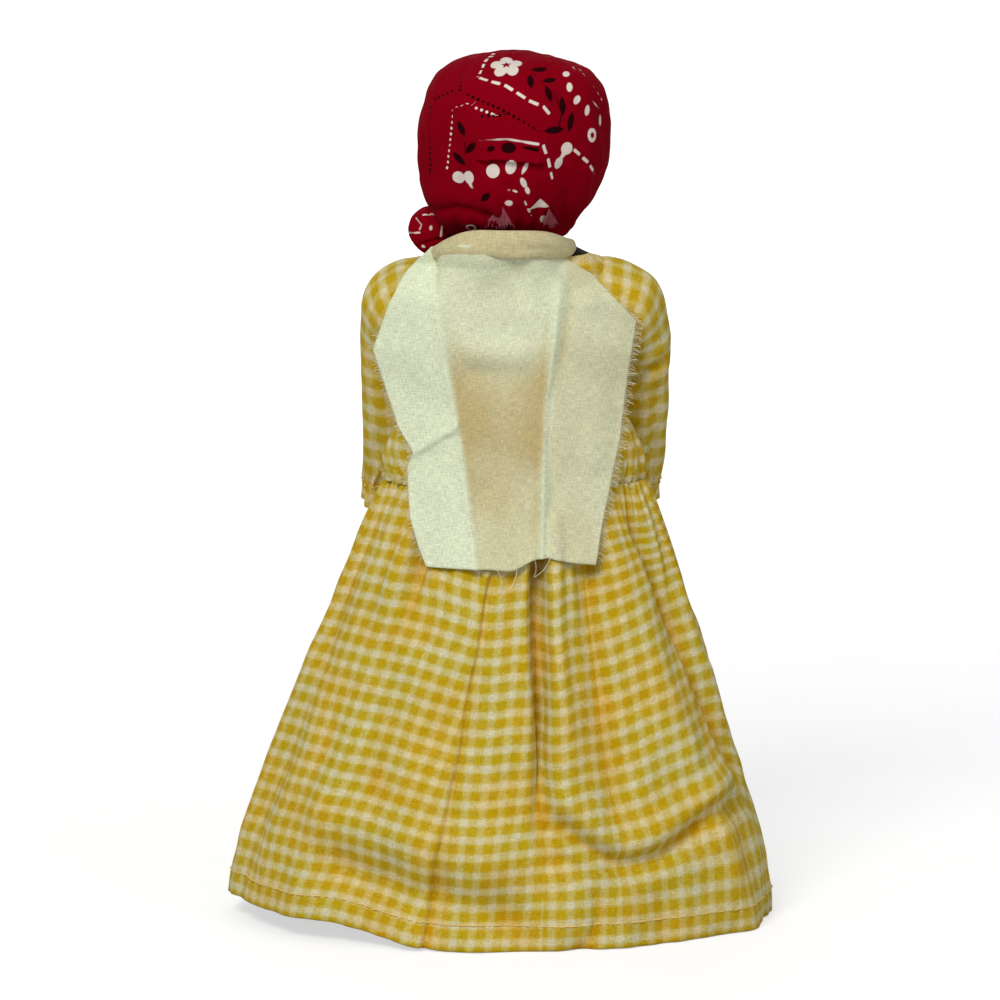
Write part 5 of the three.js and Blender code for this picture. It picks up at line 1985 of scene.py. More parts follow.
@dataclass
class Kerchief:
    """The kerchief over the head, its side knot and its gathered ends at the nape.

    Attributes:
        outline: the kerchief's radius, by height over the neckline.
        rim: height of its edge, by angle from the middle of the face, in degrees.
        creases: angle at the low end and the high end, height, and the two ends' heights, of its creases.
        flatness: its depth as a share of its width.
        columns: columns of its mesh.
        rows: rows of its mesh.
        knot_place: middle of the knot, off the body's middle.
        knot_radius: the knot's radius.
        turned: rows of the cloth that are turned in at its edge.
        turn_depth: how far inside the cloth they lie.
        profile: heights, radii and lengths along the outline.
    """

    outline: Curve = (
        (1.0, 18.8), (4.5, 20.5), (9.4, 24.5), (14.5, 28.5), (19.5, 31.0), (24.6, 32.6), (29.6, 33.6),
        (36, 33.9), (42, 33.8), (50, 32.3), (54.6, 30.5), (59.8, 26.6), (63.7, 20.0), (66.0, 12.6),
        (67.1, 6.4), (67.4, 0.0))
    rim: Curve = (
        (0, 50), (10, 49.5), (20, 47.4), (28, 43.6), (34, 38.6), (39, 32), (43, 25), (48, 18), (56, 11.5),
        (68, 7.6), (85, 5.2), (110, 3.2), (140, 2.0), (180, 1.5))
    creases: Sequence[tuple[float, ...]] = (
        (140, 118, -1.1, 4, 34), (158, 140, 0.9, 3, 30), (38, 60, -0.9, 4, 30), (22, 44, 0.8, 3, 26))
    flatness: float = 0.93
    columns: int = 400
    rows: int = 190
    knot_place: Colour = (28.6, -4.0, 245.2)
    knot_radius: float = 8.8
    turned: Sequence[int] = (14, 7, 2, 0)
    turn_depth: float = 0.5
    profile: tuple[Array, Array, Array] = field(init=False)

    def __post_init__(self) -> None:
        """Follows the outline from the neckline to the crown."""
        path = along(self.outline, 1200)
        path[:, 1] = np.maximum(path[:, 1], 0.0)
        climb = np.maximum.accumulate(path[:, 0] + 1e-9 * np.linspace(0, 1, len(path)))
        self.profile = (climb, path[:, 1], lengths(path, 0))

    def radius_at(self, height: Union[float, Array]) -> Array:
        """The kerchief's radius at a height over the neckline."""
        heights, radii, _ = self.profile
        return np.interp(height, heights, radii)

    def seat(self, x: float, h: float, front: bool) -> tuple[Array, Array]:
        """Finds the place on the kerchief that is seen from behind at a point of the view.

        Args:
            x: place off the body's middle.
            h: height as seen, from 10 degrees above.
            front: whether to take the front instead of the back.

        Returns:
            The place, and the direction off the cloth there.
        """
        # The view's lean, the height that it looks at, how high that is seen, and its distance.
        rise, slope = 0.985, 0.174
        aim, aim_seen, distance = 149.0, 146.8, 3000.0
        y, up = 20.0, 30.0
        for _ in range(12):
            near = 1.0 - (slope * (NECK_Z + up - aim) + rise * y) / distance
            flat = aim_seen + (h - aim_seen) * near
            up = np.clip((flat + slope * y) / rise - NECK_Z, 1.5, 66.8)
            radius = float(self.radius_at(up))
            held = float(np.clip(x, -0.985 * radius, 0.985 * radius))
            y = self.flatness * math.sqrt(radius**2 - held**2)
        taper = float(self.radius_at(up + 0.5)) - float(self.radius_at(up - 0.5))
        way = -1.0 if front else 1.0
        square = np.array([held, way * y / self.flatness**2, -taper * radius])
        return np.array([BODY_X + held, way * y, NECK_Z + up]), square / np.linalg.norm(square)

    def _cloth(self) -> tuple[Array, Array]:
        """Shapes the cloth over the head, with its pleats and creases.

        Returns:
            The cloth's points by row and column, and its flat coordinates.
        """
        heights, radii, run = self.profile
        turn = np.linspace(0, 2 * np.pi, self.columns, endpoint=False)
        degrees = np.degrees(turn)
        from_face = np.abs((degrees - 270.0 + 180.0) % 360.0 - 180.0)
        start = np.interp(spline(self.rim, from_face), heights, run)
        share = np.linspace(0, 1, self.rows)[:, None]
        arc = start + (run[-1] - start) * share
        up = np.interp(arc, run, heights)
        radius = np.interp(arc, run, radii)
        c, s = np.cos(turn), np.sin(turn)
        edge = arc - start
        x = radius * c
        back = ease(s, 0.1, 0.5)
        out = 0.55 * bell(edge - 1.0, 1.3)
        lean = degrees - 90.0
        fan = bell(lean, 38.0) * back * (1 - ease(up, 6, 27))
        out += fan * 0.7 * np.cos(np.radians(lean * 360.0 / 12.5 + 40 * np.sin(up / 6.0)))
        band = up - 15.0 + 0.016 * (x - 20.0) ** 2
        drawn = back * ease(x, 3, 9) * (1 - ease(x, 27, 31))
        out += drawn * (1.1 * bell(band + 4.5, 3.6) - 1.7 * bell(band, 1.3) + 0.5 * bell(band - 4, 3))
        tuck = up - 32.6 - 0.05 * (x - 2.0) + 0.006 * (x - 2.0) ** 2
        window = back * ease(x, -12.5, -7.5) * (1 - ease(x, 10, 15))
        over, under = 1.5 * np.exp(-np.abs(tuck) / 6.0), -1.3 * np.exp(-np.abs(tuck) / 3.0)
        out += window * np.where(tuck > 0, over, under)
        for angle, lean_to, depth, low, high in self.creases:
            line = degrees - angle - (lean_to - angle) * (up - low) / (high - low)
            out += depth * bell(line, 6.0) * ease(up, low - 2, low + 4) * (1 - ease(up, high - 8, high + 4))
        out += 0.5 * bell(degrees - 160 + 0.9 * (up - 30), 5) * ease(up, 24, 34) * (1 - ease(up, 48, 60))
        out += np.where(c > 0, 2.2, 1.5) * c * bell(up - 15.5, 9.0)
        out += 1.8 * bell(degrees - 28, 24) * bell(up - 6, 7)
        points = np.stack([x, self.flatness * radius * s, up + 0 * c], -1)
        out += Ripple(51, 14, 36).at(points) * 0.55 * ease(radius, 4, 16)
        out += Ripple(52, 5, 10).at(points) * 0.12
        points = points + normals_of(points, True) * out[..., None]
        points[-1] = points[-1].mean(0)
        around = np.concatenate([turn, [2 * np.pi]]) * 30.0 + 0 * share
        flat = np.stack([around, np.concatenate([arc, arc[:, :1]], 1)], -1)
        return points + np.array([BODY_X, 0, NECK_Z]), flat

    def _print(self, points: Array) -> Print:
        """Prints the cloth.

        Args:
            points: the cloth's points, one to a row.

        Returns:
            The print.
        """
        ink = Print(self.seat, points)
        for front in (False, True):
            ink.stamp("white", 2.8, 301.2, lambda a, b: blossom(5.8)(a, b / 1.35), 8, front)
            ink.stroke("white", [(6.4, 306.2), (10.4, 302.2), (12.8, 297.1)], 0.55, front, 2.4, 3.9)
            across = [(12.8, 297.1), (2.7, 293.7), (-5.1, 288.5), (-10.1, 286.4), (-13.2, 282.6)]
            ink.stroke("white", across, 0.62, front, 3.6)
            for line in ([(23.6, 263.8), (23.0, 271.6), (21.0, 284.6)], [(20.4, 285.8), (15.2, 287.7)],
                         [(14.1, 286.2), (7.6, 283.8)]):
                ink.dots("white", line, front)
            for line in ([(19.3, 299.5), (18.9, 290.8)], [(28.2, 288.8), (20.3, 292.7)],
                         [(29.1, 287.2), (29.3, 260.1)],
                         [(16.7, 290.8), (4.8, 285.6), (-8.8, 277.8)], [(12.0, 283.1), (3.2, 283.3)]):
                ink.dots("black", line, front)
            for x, h, turn in ((-18.1, 297.9, 30), (-19.1, 293.2, 60), (-21.8, 288.8, 40),
                               (-25.3, 285.1, 70), (-31.0, 281.7, 80)):
                ink.stamp("white", x, h, oval(1.9, 1.15), turn, front)
            stem = [(-20.6, 300.4), (-22.0, 297.0), (-22.6, 294.6), (-25.2, 291.6), (-26.6, 288.8),
                    (-30.6, 285.4)]
            ink.stroke("white", stem, 0.34, front)
            beside = [(-22.6, 300.2), (-25.6, 295.8), (-29.0, 291.4), (-31.4, 287.6)]
            ink.stroke("white", beside, 0.34, front, 1.3, 2.9)
            ink.stamp("white", -27.0, 276.3, hoop(1.75, 0.72), 0, front)
            for x, h, turn, size in ((-8.8, 299.9, 8, 7), (-5.7, 295.5, 84, 6.5), (-12.4, 296.0, 8, 6),
                                     (-11.9, 290.8, 96, 6.5), (-16.9, 286.7, 84, 7), (-19.7, 281.0, 68, 7.5),
                                     (-14.0, 278.1, 4, 8), (18.3, 278.6, -58, 6), (15.2, 271.8, 46, 6),
                                     (19.6, 267.9, -40, 7), (9.7, 254.9, 44, 5)):
                ink.stamp("black", x, h, leaf(size, 1.25), turn, front)
            twig = [(-6.6, 298.4), (-10.2, 294.4), (-14.4, 290.6), (-16.6, 284.0), (-15.4, 279.0)]
            ink.stroke("black", twig, 0.28, front)
            ink.stroke("black", [(17.0, 280.0), (17.3, 272.0), (17.2, 266.0)], 0.24, front)
        ink.stroke("white", [(12.0, 274.5), (2.7, 274.9), (-8.8, 273.0)], 0.5)
        # Painted shadow under the tuck's fold, laid down in the dark ink.
        ink.stamp("black", 2.0, 271.9, oval(2.6, 1.9))
        ink.stamp("black", 8.0, 271.6, oval(1.5, 1.0), 20)
        ink.stroke("black", [(-3.0, 272.0), (-8.0, 271.0)], 0.8)
        ink.stroke("white", [(-9.8, 273.7), (-11.9, 267.4), (-13.5, 260.6)], 0.6, False, 3.4)
        ink.stamp("white", 7.5, 263.5, oval(2.4, 2.4))
        ink.stamp("white", 1.2, 265.1, oval(1.9, 2.7), -12)
        ink.stamp("white", -3.8, 264.6, leaf(5.4, 0.75), 62)
        for x in (19.7, 16.0):
            ink.stamp("white", x, 261.2, oval(2.2, 2.2))
        ink.stroke("white", [(16.0, 260.0), (13.6, 257.0)], 0.8)
        ink.stamp("white", -18.4, 271.6, oval(2.2, 2.2))
        ink.stamp("white", -15.8, 266.2, oval(1.6, 2.1), -24)
        ink.stroke("white", [(-18.2, 271.0), (-16.2, 267.0)], 0.95)
        ink.stroke("white", [(-20.2, 271.8), (-25.5, 266.9), (-29.1, 261.7)], 0.6, False, 3.5)
        ink.stamp("white", -3.2, 259.4, oval(1.0, 2.1), 24)
        ink.stamp("white", -4.6, 256.6, oval(0.8, 1.6), 20)
        ink.stroke("white", [(3.6, 256.8), (1.0, 257.0), (-0.8, 256.2)], 0.42, False, 1.6, 2.6)
        ink.stamp("white", 1.9, 252.6, oval(1.4, 1.1))
        ink.stamp("white", -9.2, 251.4, lambda a, b: np.maximum(np.abs(a) * 0.9 + b - 2.0, -b - 1.6))
        ink.stamp("white", -10.3, 246.2, oval(1.2, 1.7), 20)
        ink.stroke("white", [(-3.4, 253.4), (-4.6, 250.4), (-6.2, 247.6)], 0.42, False, 2.0, 3.4)
        ink.stamp("white", 14.2, 245.0, hoop(1.5, 0.36))
        return ink

    def _knot(self, wardrobe: Wardrobe) -> None:
        """Makes the round knot at the left, with parts of the same print, and its two short ends.

        Args:
            wardrobe: the doll's materials.
        """
        radius = self.knot_radius
        middle = np.array(self.knot_place) + np.array([BODY_X, 0, 0])
        columns, rows = 130, 90
        turn = np.linspace(0, 2 * np.pi, columns, endpoint=False)[None]
        tip = np.linspace(-np.pi / 2, np.pi / 2, rows)[:, None]
        way = np.stack([np.cos(tip) * np.cos(turn), np.cos(tip) * np.sin(turn), np.sin(tip) + 0 * turn], -1)
        crease = way @ np.array([0.25, 0.2, 0.95]) + 0.22 + 0.10 * np.sin(3 * turn)
        wrap = way @ np.array([-0.8, 0.35, 0.5]) - 0.45
        drawn = 0.085 * bell(crease, 0.09) + 0.06 * bell(wrap, 0.08)
        size = radius * (1 - drawn + 0.02 * np.sin(4 * turn + 3 * tip))
        size += 0.12 * Ripple(61, 4, 9).at(way * radius)
        points = middle + way * size[..., None] * np.array([1.0, 1.0, 0.98])
        around = np.linspace(0, 55, columns + 1)[None] + 0 * tip
        uv = np.stack([around, 27 * tip / np.pi + 0 * around], -1)
        knot = grid("kerchief_knot_turns", points, uv, True)

        def seat(x: float, h: float, front: bool) -> tuple[Array, Array]:
            """Finds the place on the knot that is seen from behind at a point of the view.

            Args:
                x: place off the knot's middle.
                h: height off its middle.
                front: not used, because the knot is printed on its back alone.

            Returns:
                The place, and the direction off the cloth there.
            """
            far = min(math.hypot(x, h), 0.97 * radius)
            share = far / max(math.hypot(x, h), 1e-6)
            off = np.array([x * share, math.sqrt(radius**2 - far**2), h * share])
            return middle + off, off / radius

        ink = Print(seat, points.reshape(-1, 3))
        curl = [(3.6, 6.2), (0.2, 6.6), (-3.6, 4.6), (-3.0, 1.4), (-2.6, -2.4), (0.6, -2.6)]
        ink.stroke("white", curl, 0.36)
        ink.stroke("white", [(6.2, 5.0), (4.2, 3.0), (4.8, 1.2)], 0.34)
        ink.stroke("white", [(8.2, -0.4), (4.6, 0.2)], 0.34)
        ink.stamp("white", 0.8, 2.0, oval(0.55, 0.9))
        ink.stamp("white", 3.6, -5.2, oval(0.9, 0.5))
        ink.stroke("white", [(-6.0, -4.6), (-3.4, -6.4), (-1.0, -7.0)], 0.36)
        ink.store(knot)
        weld(knot)
        dress(knot, wardrobe["kerchief"], "head", "kerchief", "kerchief_knot")
        for number, spread in enumerate((-0.55, 0.35)):
            s = np.linspace(0, 1, 36)[:, None]
            t = np.linspace(-1, 1, 26)[None]
            wide = 1.6 + 4.0 * s
            lead = np.array([math.sin(spread), -math.cos(spread), -0.12])
            side = np.array([math.cos(spread), math.sin(spread), 0.0])
            root = middle + np.array([0.5, -6.5, -1.0 - 2.4 * number])
            wave = 1.1 * np.cos(3.6 * t + 1.2 * number) * s + 0.5 * np.cos(7 * t) * s
            sheet = root + (10.0 * s + 0 * t)[..., None] * lead + (wide * t)[..., None] * side
            sheet = sheet + wave[..., None] * np.array([0, 0, 1.0]) - (0.5 * t * t)[..., None] * lead * 2
            end = grid(f"kerchief_end_{number + 1}", sheet, np.stack([wide * t, 10 * s + 0 * t], -1))
            at = sheet[20 + 6 * number, 13]
            tail = Print(lambda x, h, front, at=at: (at, np.array([0.0, 0.0, 1.0])), sheet.reshape(-1, 3))
            tail.stamp("white", 0, 0, blossom(2.4), 20)
            tail.store(end)
            thicken(end, 0.45)
            dress(end, wardrobe["kerchief"], "head", "kerchief")

    def _tuft(self, wardrobe: Wardrobe, stitching: Stitching) -> None:
        """Makes the gathered raw ends at the nape, with their paler wrong side out.

        Args:
            wardrobe: the doll's materials.
            stitching: the thread trees.
        """
        tufts = ((4.4, 258.6, 10.4, 0.2), (-12.2, 256.4, -10.4, -15.4))
        for number, (x0, top, left, right) in enumerate(tufts):
            s = np.linspace(0, 1, 40)[:, None]
            t = np.linspace(0, 1, 52)[None]
            x = x0 + (left + (right - left) * t - x0) * s
            z = top + (250.6 - top + 0.5 * np.sin(9 * t)) * s
            radius = self.radius_at(z - NECK_Z)
            y = self.flatness * np.sqrt(np.maximum(radius**2 - x**2, 1.0)) + 1.0
            y = y + 0.2 * s * (1 + np.cos(2 * np.pi * 7.5 * t))
            sheet = np.stack([x + BODY_X, y, z], -1)[::-1]
            uv = np.stack([12 * t + 0 * s, 10 * s[::-1] + 0 * t], -1)
            cloth = grid(f"kerchief_tuft_{number + 1}", sheet, uv)
            thicken(cloth, 0.4)
            nodes = ("kerchief_tuft",) if number == 0 else ()
            dress(cloth, wardrobe["kerchief_plain"], "head", "kerchief", *nodes)
            out = np.zeros_like(sheet[0]) + np.array([0.1, 0.35, -0.9])
            fray = stitching.sew(f"kerchief_fray_{number + 1}", stitching.fringe, sheet[0], out,
                                 wardrobe["kerchief_plain"], closed=False, seed=23 + number, step=0.5,
                                 length=0.7, thickness=0.12, bend=0.2, spread=0.5, uneven=0.6)
            dress(fray, wardrobe["kerchief_plain"], "head", "kerchief")

    def build(self, wardrobe: Wardrobe, stitching: Stitching) -> None:
        """Makes the kerchief, its knot and its gathered ends.

        Args:
            wardrobe: the doll's materials.
            stitching: the thread trees.
        """
        points, flat = self._cloth()
        turned = list(self.turned)
        inside = points[turned] - self.turn_depth * normals_of(points, True)[turned]
        whole = np.concatenate([inside, points])
        cloth = grid("kerchief_cloth", whole, np.concatenate([flat[turned], flat]), True)
        self._print(whole.reshape(-1, 3)).store(cloth)
        # Painted shade: darker towards the kerchief's lower edge at the neckline, and in its folds.
        low = 0.75 * (1 - ease(points[..., 2] - NECK_Z, 4, 24))
        hollow = np.maximum(low, hollow_of(points, 4, 1.2))
        tag(cloth, "hollow", np.concatenate([hollow[turned], hollow]).ravel())
        weld(cloth)
        dress(cloth, wardrobe["kerchief"], "head", "kerchief", "kerchief")
        self._knot(wardrobe)
        self._tuft(wardrobe, stitching)


# Stuffed body


def lofted(name: str, sections: Sequence[Sequence[float]], middle: Sequence[float], grow: float,
           lumps: Ripple, relief: float, rows: int = 84, columns: int = 84) -> Piece:
    """A stuffed form from level sections, closed at both ends.

    Args:
        name: the object's name.
        sections: height, half width, half depth and squareness of each.
        middle: place of the form's axis.
        grow: how much thicker it is all round.
        lumps: uneven filling.
        relief: height of the lumps.
        rows: rows of its mesh.
        columns: columns of its mesh.

    Returns:
        The new object.
    """
    z = np.linspace(sections[0][0], sections[-1][0], rows)[:, None]
    wide, deep, square = sections_at(sections, z)
    angle = np.linspace(0, 2 * np.pi, columns, endpoint=False)[None]
    c, s = np.cos(angle), np.sin(angle)
    x = (wide + grow) * np.sign(c) * np.abs(c) ** (2 / square)
    y = (deep + grow) * np.sign(s) * np.abs(s) ** (2 / square)
    points = np.stack([x, y, z + 0 * angle], -1) + np.array(middle)
    points = points + normals_of(points, True) * (relief * np.minimum(lumps.at(points), 0.4))[..., None]
    around = np.linspace(0, 2 * np.pi * float(wide.mean()), columns + 1)[None] + 0 * z
    return closed_ends(name, points, np.stack([around, z - z[0] + 0 * around], -1))


def closed_ends(name: str, points: Array, uv: Array) -> Piece:
    """Draws the first and last ring of a wrapped grid in to a point each.

    Args:
        name: the object's name.
        points: places by row and column.
        uv: flat coordinates, with one more column.

    Returns:
        The new object.
    """
    first, last = points[0].mean(0), points[-1].mean(0)
    inner = [first + (points[:1] - first) * k for k in (0.0, 0.6)]
    outer = [last + (points[-1:] - last) * k for k in (0.6, 0.0)]
    whole = np.concatenate([*inner, points, *outer])
    made = grid(name, whole, np.concatenate([uv[:1], uv[:1], uv, uv[-1:], uv[-1:]]), True)
    weld(made)
    return made


@dataclass
class Body:
    """The stuffed head, torso and limbs of dark cotton, each over its own wadding, and the stitched face.

    Attributes:
        head: sections of the head, as shares of its height and half width.
        torso: sections of the torso: height, half width, half depth and squareness.
        arm: the left arm's middle in its own frame, with two half thicknesses.
        leg: the left leg's middle under the hip, with two half thicknesses.
        head_height: neckline to crown.
        head_half_width: half the head's width.
        flatness: the head's depth as a share of its width.
        eye: half width and half height of an eye.
        eye_place: an eye's place off the middle and over the neckline.
        mouth: half width of the mouth and its height over the neckline.
        wall: how far the wadding lies inside the cover.
    """

    head: Curve = (
        (0.006, 0.39), (0.09, 0.50), (0.18, 0.68), (0.30, 0.85), (0.41, 0.95), (0.53, 1.0), (0.68, 0.99),
        (0.80, 0.92), (0.89, 0.79), (0.96, 0.55), (0.99, 0.30), (1.0, 0.16))
    torso: Sequence[tuple[float, float, float, float]] = (
        (134.5, 26.8, 2.2, 2.0), (142, 28.2, 9.2, 2.0), (152.6, 28.8, 14.6, 2.0), (164.5, 27.8, 15.8, 2.0),
        (184.8, 26.6, 15.8, 2.0), (204, 27.8, 15.6, 2.4), (220, 28.8, 14.4, 3.0), (231, 28.2, 14.0, 3.0),
        (236.0, 26.6, 13.6, 2.8), (239.4, 22.6, 13.0, 2.4), (241.3, 18.0, 12.6, 2.0),
        (241.8, 13.0, 12.4, 2.0))
    arm: Sequence[tuple[float, ...]] = (
        (-3.4, 0, 0, 7.9, 7.9), (3.0, 0, -0.4, 7.9, 7.9), (9.6, 0, -4.6, 7.8, 7.8),
        (12.0, 0, -16, 7.7, 7.6), (12.9, 0, -36, 7.2, 7.2), (14.0, 0, -56, 6.2, 6.2),
        (14.8, 0, -71, 5.0, 4.9), (15.1, 0, -76.5, 5.4, 4.6), (15.3, 0, -80.4, 4.2, 3.4),
        (15.35, 0, -81.8, 2.0, 1.6))
    leg: Sequence[tuple[float, ...]] = (
        (0, 0, -0.6, 10.8, 2.0), (0, 0, -8, 11.3, 7.0), (0, 0, -19, 11.6, 10.6), (0, 0, -45, 11.0, 11.0),
        (0, 0, -75, 9.6, 9.8), (0, 0, -102, 8.2, 8.4), (0, 0.2, -116, 7.9, 8.2), (0, -1.2, -123, 8.6, 8.0),
        (0, -6.0, -126.6, 9.0, 7.0), (0, -12.5, -127.6, 8.6, 5.8), (0, -17.0, -128.2, 6.0, 4.2),
        (0, -18.6, -128.6, 3.0, 2.2))
    head_height: float = 65.6
    head_half_width: float = 32.0
    flatness: float = 0.93
    eye: tuple[float, float] = (2.9, 2.6)
    eye_place: tuple[float, float] = (10.5, 34.0)
    mouth: tuple[float, float] = (6.0, 19.0)
    wall: float = 1.6

    def _head_sections(self) -> list[tuple[float, float, float, float]]:
        """The head's sections in millimetres."""
        half, tall = self.head_half_width, self.head_height
        return [(NECK_Z + up * tall, half * w, half * w * self.flatness, 2.0) for up, w in self.head]

    def _face(self, x: Array, z: Array, lift: Array) -> Array:
        """Finds places on the front of the head.

        Args:
            x: places off the body's middle.
            z: heights.
            lift: how far they stand off the head.

        Returns:
            The places.
        """
        wide = sections_at(self._head_sections(), z)[0]
        y = -self.flatness * np.sqrt(np.maximum(wide**2 - x**2, 0.0)) - lift
        return np.stack([x + BODY_X, y, z + 0 * x], -1)

    def _floss(self, name: str, x0: float, z0: float, wide: float, tall: float, lift: float,
               base: float) -> Piece:
        """A satin-stitched oval on the face, crowned, with a ridge for each thread.

        Args:
            name: the object's name.
            x0: its place off the body's middle.
            z0: its height.
            wide: half its width.
            tall: half its height.
            lift: how far its crown stands off its edge.
            base: how far its edge stands off the face.

        Returns:
            The new object.
        """
        turn = np.linspace(0, 2 * np.pi, 72, endpoint=False)[None]
        out = np.linspace(1, 0.02, 26)[:, None]
        x = x0 - wide * out * np.cos(turn) * (1 + 0.02 * np.sign(np.sin(24 * np.sin(turn))))
        z = z0 + tall * out * np.sin(turn)
        ridge = 0.09 * np.cos(2 * np.pi * (x - x0) / 0.62)
        rise = base + lift * np.sqrt(1 - 0.999 * out**2) + ridge * (1 - out**6)
        around = np.linspace(0, 9, 73)[None] + 0 * out
        return closed_ends(name, self._face(x, z, rise), np.stack([around, out * 3 + 0 * around], -1))

    def _dress_face(self, wardrobe: Wardrobe) -> None:
        """Makes the stitched eyes and mouth.

        Args:
            wardrobe: the doll's materials.
        """
        for side in Side:
            x0, z0 = side.value * self.eye_place[0], NECK_Z + self.eye_place[1]
            eye = self._floss(f"eye_floss_{side.label}", x0, z0, *self.eye, 0.55, 0.12)
            dress(eye, wardrobe["eye_tan"], "head", "embroidery", f"eye_{side.label}")
            dark = self._floss(f"pupil_floss_{side.label}", x0, z0 - 0.1, 1.75, 2.0, 0.4, 0.6)
            dress(dark, wardrobe["eye_dark"], "head", "embroidery")
            glint = self._floss(f"eye_glint_{side.label}", x0 - 0.5, z0 + 0.5, 0.42, 0.42, 0.25, 0.95)
            dress(glint, wardrobe["eye_tan"], "head", "embroidery")
        half, up = self.mouth
        s = np.linspace(-1, 1, 60)[:, None]
        turn = np.linspace(0, 2 * np.pi, 24, endpoint=False)[None]
        thick = 0.12 + 0.85 * np.sqrt(np.maximum(1 - s**2, 0))
        x = half * s + 0 * turn
        z = NECK_Z + up - 0.3 + 1.9 * s**2 + thick * np.cos(turn)
        lift = 0.15 + 0.45 * thick * (1 + np.sin(turn)) + 0.08 * np.cos(2 * np.pi * half * s / 0.7)
        around = np.linspace(0, 5, 25)[None] + 0 * s
        lips = closed_ends("mouth_floss", self._face(x, z, lift), np.stack([around, 6 * s + 0 * around], -1))
        dress(lips, wardrobe["mouth"], "head", "embroidery", "mouth")

    def _limb(self, path: Sequence[tuple[float, ...]], grow: float, up: Colour,
              floor: Optional[float]) -> Array:
        """Shapes a limb in its own frame.

        Args:
            path: its middle, with two half thicknesses.
            grow: how much thicker it is all round.
            up: the direction of its first thickness.
            floor: the lowest height that it may reach, or None.

        Returns:
            Points by place along it and side.
        """
        line = along(path, 70)
        ahead = np.gradient(line[:, :3], axis=0)
        ahead /= np.linalg.norm(ahead, axis=1, keepdims=True)
        side = np.cross(ahead, np.array(up))
        side /= np.linalg.norm(side, axis=1, keepdims=True)
        rise = np.cross(side, ahead)
        angle = np.linspace(0, 2 * np.pi, 44, endpoint=False)
        halves = np.maximum(line[:, 3:5] + grow, 0.4)
        points = line[:, None, :3] + (halves[:, :1] * np.cos(angle))[..., None] * rise[:, None]
        points = points + (halves[:, 1:2] * np.sin(angle))[..., None] * side[:, None]
        points = points + normals_of(points, True) * (Ripple(71, 7, 18).at(points) * 0.22)[..., None]
        if floor is not None:
            points[..., 2] = np.maximum(points[..., 2], floor)
        return points

    def _finish_limb(self, name: str, points: Array, material: Material, body: str, slot: str,
                     node: str) -> None:
        """Args:
            name: the object's name.
            points: places by place along and side.
            material: its material.
            body: the moving body that it belongs to.
            slot: its material slot.
            node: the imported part's solid that it replaces.
        """
        down = np.linspace(0, 110, len(points))[:, None]
        around = np.linspace(0, 60, points.shape[1] + 1)[None] + 0 * down
        limb = closed_ends(name, points, np.stack([around, down + 0 * around], -1))
        dress(limb, material, body, slot, node)

    def build(self, wardrobe: Wardrobe) -> None:
        """Makes the stuffed body.

        Args:
            wardrobe: the doll's materials.
        """
        middle = (BODY_X, 0.0, 0.0)
        layers = (("form", "cover", 0.0, "skin", 0.9), ("wadding", "stuffing", -self.wall, "wadding", 0.7))
        for layer, node, grow, slot, fill in layers:
            head = lofted(f"head_{layer}", self._head_sections(), middle, grow, Ripple(72, 12, 30), 0.3)
            dress(head, wardrobe[slot], "head", slot, f"head_{node}")
            torso = lofted(f"torso_{layer}", self.torso, middle, grow, Ripple(73, 12, 34), 0.5)
            dress(torso, wardrobe[slot], "torso", slot, f"torso_{node}")
            for side in Side:
                label = side.label
                hip = PIVOTS[f"hip_{label}"]
                arm = Sleeve(side).place(self._limb(self.arm, grow, (0.0, 1.0, 0.0), None))
                leg = self._limb(self.leg, grow, (1.0, 0.0, 0.0), 1.0 - hip[2] - grow) + hip
                for limb, points in (("arm", arm), ("leg", leg)):
                    self._finish_limb(f"{limb}_{layer}_{label}", points, wardrobe[slot], f"{limb}_{label}",
                                      slot, f"{limb}_{node}_{label}")
        self._dress_face(wardrobe)


# Studio


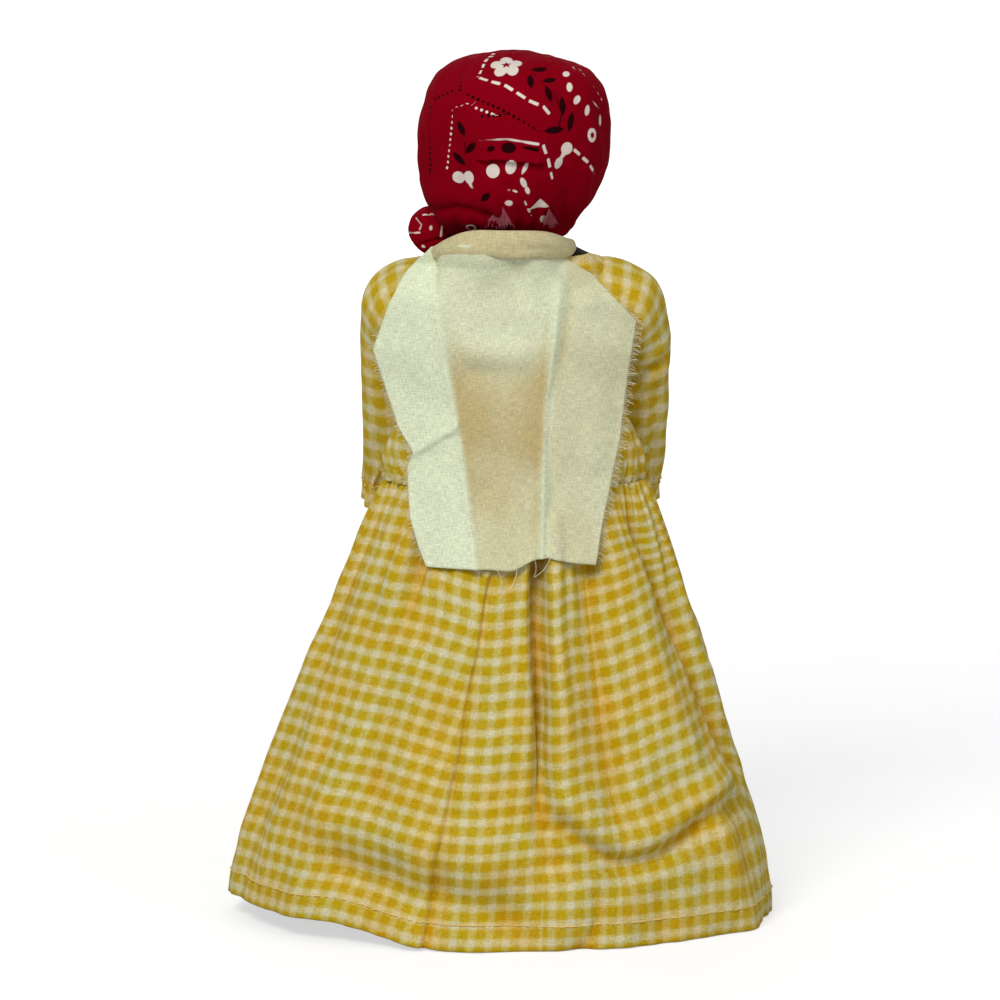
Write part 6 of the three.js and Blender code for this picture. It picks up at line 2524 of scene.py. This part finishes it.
@dataclass
class Studio:
    """The pale floor, the soft lamps and the camera.

    Attributes:
        distance: from the camera to the doll's axis, in metres.
        elevation: degrees that the camera looks down.
        height: what the camera looks at, in metres.
        view_width: width of the view at the doll's axis, in metres.
        sensor: width of the camera's sensor, in millimetres.
    """

    distance: float = 3.0
    elevation: float = 10.0
    height: float = 0.149
    view_width: float = 0.355
    sensor: float = 36.0

    @staticmethod
    def _seen(w: Wiring) -> Outlet:
        """Tells light that reaches the camera from the rest.

        Args:
            w: the tree to add to.

        Returns:
            1 for rays seen straight, by a mirror or through glass, and 0 for others.
        """
        rays = w.node("ShaderNodeLightPath").outputs
        mirrored = w.math("MAXIMUM", rays["Is Glossy Ray"], rays["Is Transmission Ray"])
        return w.math("MAXIMUM", rays["Is Camera Ray"], mirrored)

    def _floor(self) -> None:
        """A pale floor that fills the view and keeps the doll's shadow."""
        turn = np.linspace(0, 2 * np.pi, 64, endpoint=False)
        rings = [np.stack([r * np.cos(turn), r * np.sin(turn), 0 * turn], -1)
                 for r in (9000.0, 1500.0, 300.0, 1.0)]
        floor = grid("studio_floor", np.stack(rings), np.zeros((4, 65, 2)), True)
        made = bpy.data.materials.new("studio_paper")
        made.use_nodes = True
        w = Wiring(made.node_tree)
        shader = made.node_tree.nodes["Principled BSDF"]
        grain = w.noise(w.node("ShaderNodeTexCoord").outputs["Object"], 30.0)
        w.feed(shader.inputs["Base Color"],
               w.blend(grain, rgba((0.48, 0.48, 0.48)), rgba((0.51, 0.51, 0.51))))
        shader.inputs["Roughness"].default_value = 1.0
        shader.inputs["Specular IOR Level"].default_value = 0.0
        shader.inputs["Emission Color"].default_value = (1.0, 1.0, 1.0, 1.0)
        away = w.node("ShaderNodeVectorMath", operation="LENGTH")
        w.feed(away.inputs[0], w.node("ShaderNodeTexCoord").outputs["Object"])
        far = w.span(away.outputs["Value"], 0.25, 1.6, 0.61, 0.88)
        w.feed(shader.inputs["Emission Strength"], w.math("MULTIPLY", self._seen(w), far))
        floor.data.materials.append(made)

    def _lamp(self, name: str, place: Colour, size: float, power: float, colour: Colour) -> None:
        """A soft square lamp that points at the doll.

        Args:
            name: the lamp's name.
            place: where it stands, in metres.
            size: its width, in metres.
            power: its power, in watts.
            colour: its colour.
        """
        data = bpy.data.lights.new(name, "AREA")
        data.size, data.energy, data.color = size, power, colour
        lamp = bpy.data.objects.new(name, data)
        lamp.location = place
        aim = Vector((0, 0, self.height)) - Vector(place)
        lamp.rotation_euler = aim.to_track_quat("-Z", "Y").to_euler()
        bpy.context.scene.collection.objects.link(lamp)

    def build(self) -> None:
        """Sets up the camera, the floor, the lamps and the world."""
        scene = bpy.context.scene
        lean = math.radians(self.elevation)
        data = bpy.data.cameras.new("camera")
        data.sensor_width = self.sensor
        data.lens = data.sensor_width * self.distance / self.view_width
        data.clip_end = 50.0
        camera = bpy.data.objects.new("camera", data)
        back = Vector((0.0, math.cos(lean), math.sin(lean)))
        camera.location = Vector((0, 0, self.height)) + back * self.distance
        camera.rotation_euler = (-back).to_track_quat("-Z", "Y").to_euler()
        scene.collection.objects.link(camera)
        scene.camera = camera
        scene.view_settings.view_transform = "Standard"
        self._floor()
        self._lamp("key_lamp", (0.58, 1.45, 1.5), 0.7, 24.2, (1.0, 0.985, 0.96))
        self._lamp("fill_lamp", (-1.4, 1.1, 0.7), 1.2, 4.6, (0.96, 0.98, 1.0))
        self._lamp("front_lamp", (0.2, -1.6, 1.1), 1.2, 7.0, (1.0, 1.0, 1.0))
        world = bpy.data.worlds.new("studio_air")
        world.use_nodes = True
        air = world.node_tree.nodes["Background"]
        air.inputs["Color"].default_value = (0.98, 0.99, 1.0, 1.0)
        w = Wiring(world.node_tree)
        w.feed(air.inputs["Strength"], w.span(self._seen(w), 0.0, 1.0, 0.36, 1.0))
        scene.world = world


def main() -> None:
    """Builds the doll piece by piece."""
    logging.basicConfig(level=logging.INFO, format="%(name)s: %(message)s")
    Studio().build()
    wardrobe, stitching = Wardrobe(), Stitching()
    Skirt().build(wardrobe, stitching)
    Bodice().build(wardrobe, stitching)
    for side in Side:
        Sleeve(side).build(wardrobe, stitching)
    Shawl().build(wardrobe, stitching)
    Kerchief().build(wardrobe, stitching)
    Body().build(wardrobe)
    bpy.context.view_layer.update()


if __name__ == "__main__":
    main()
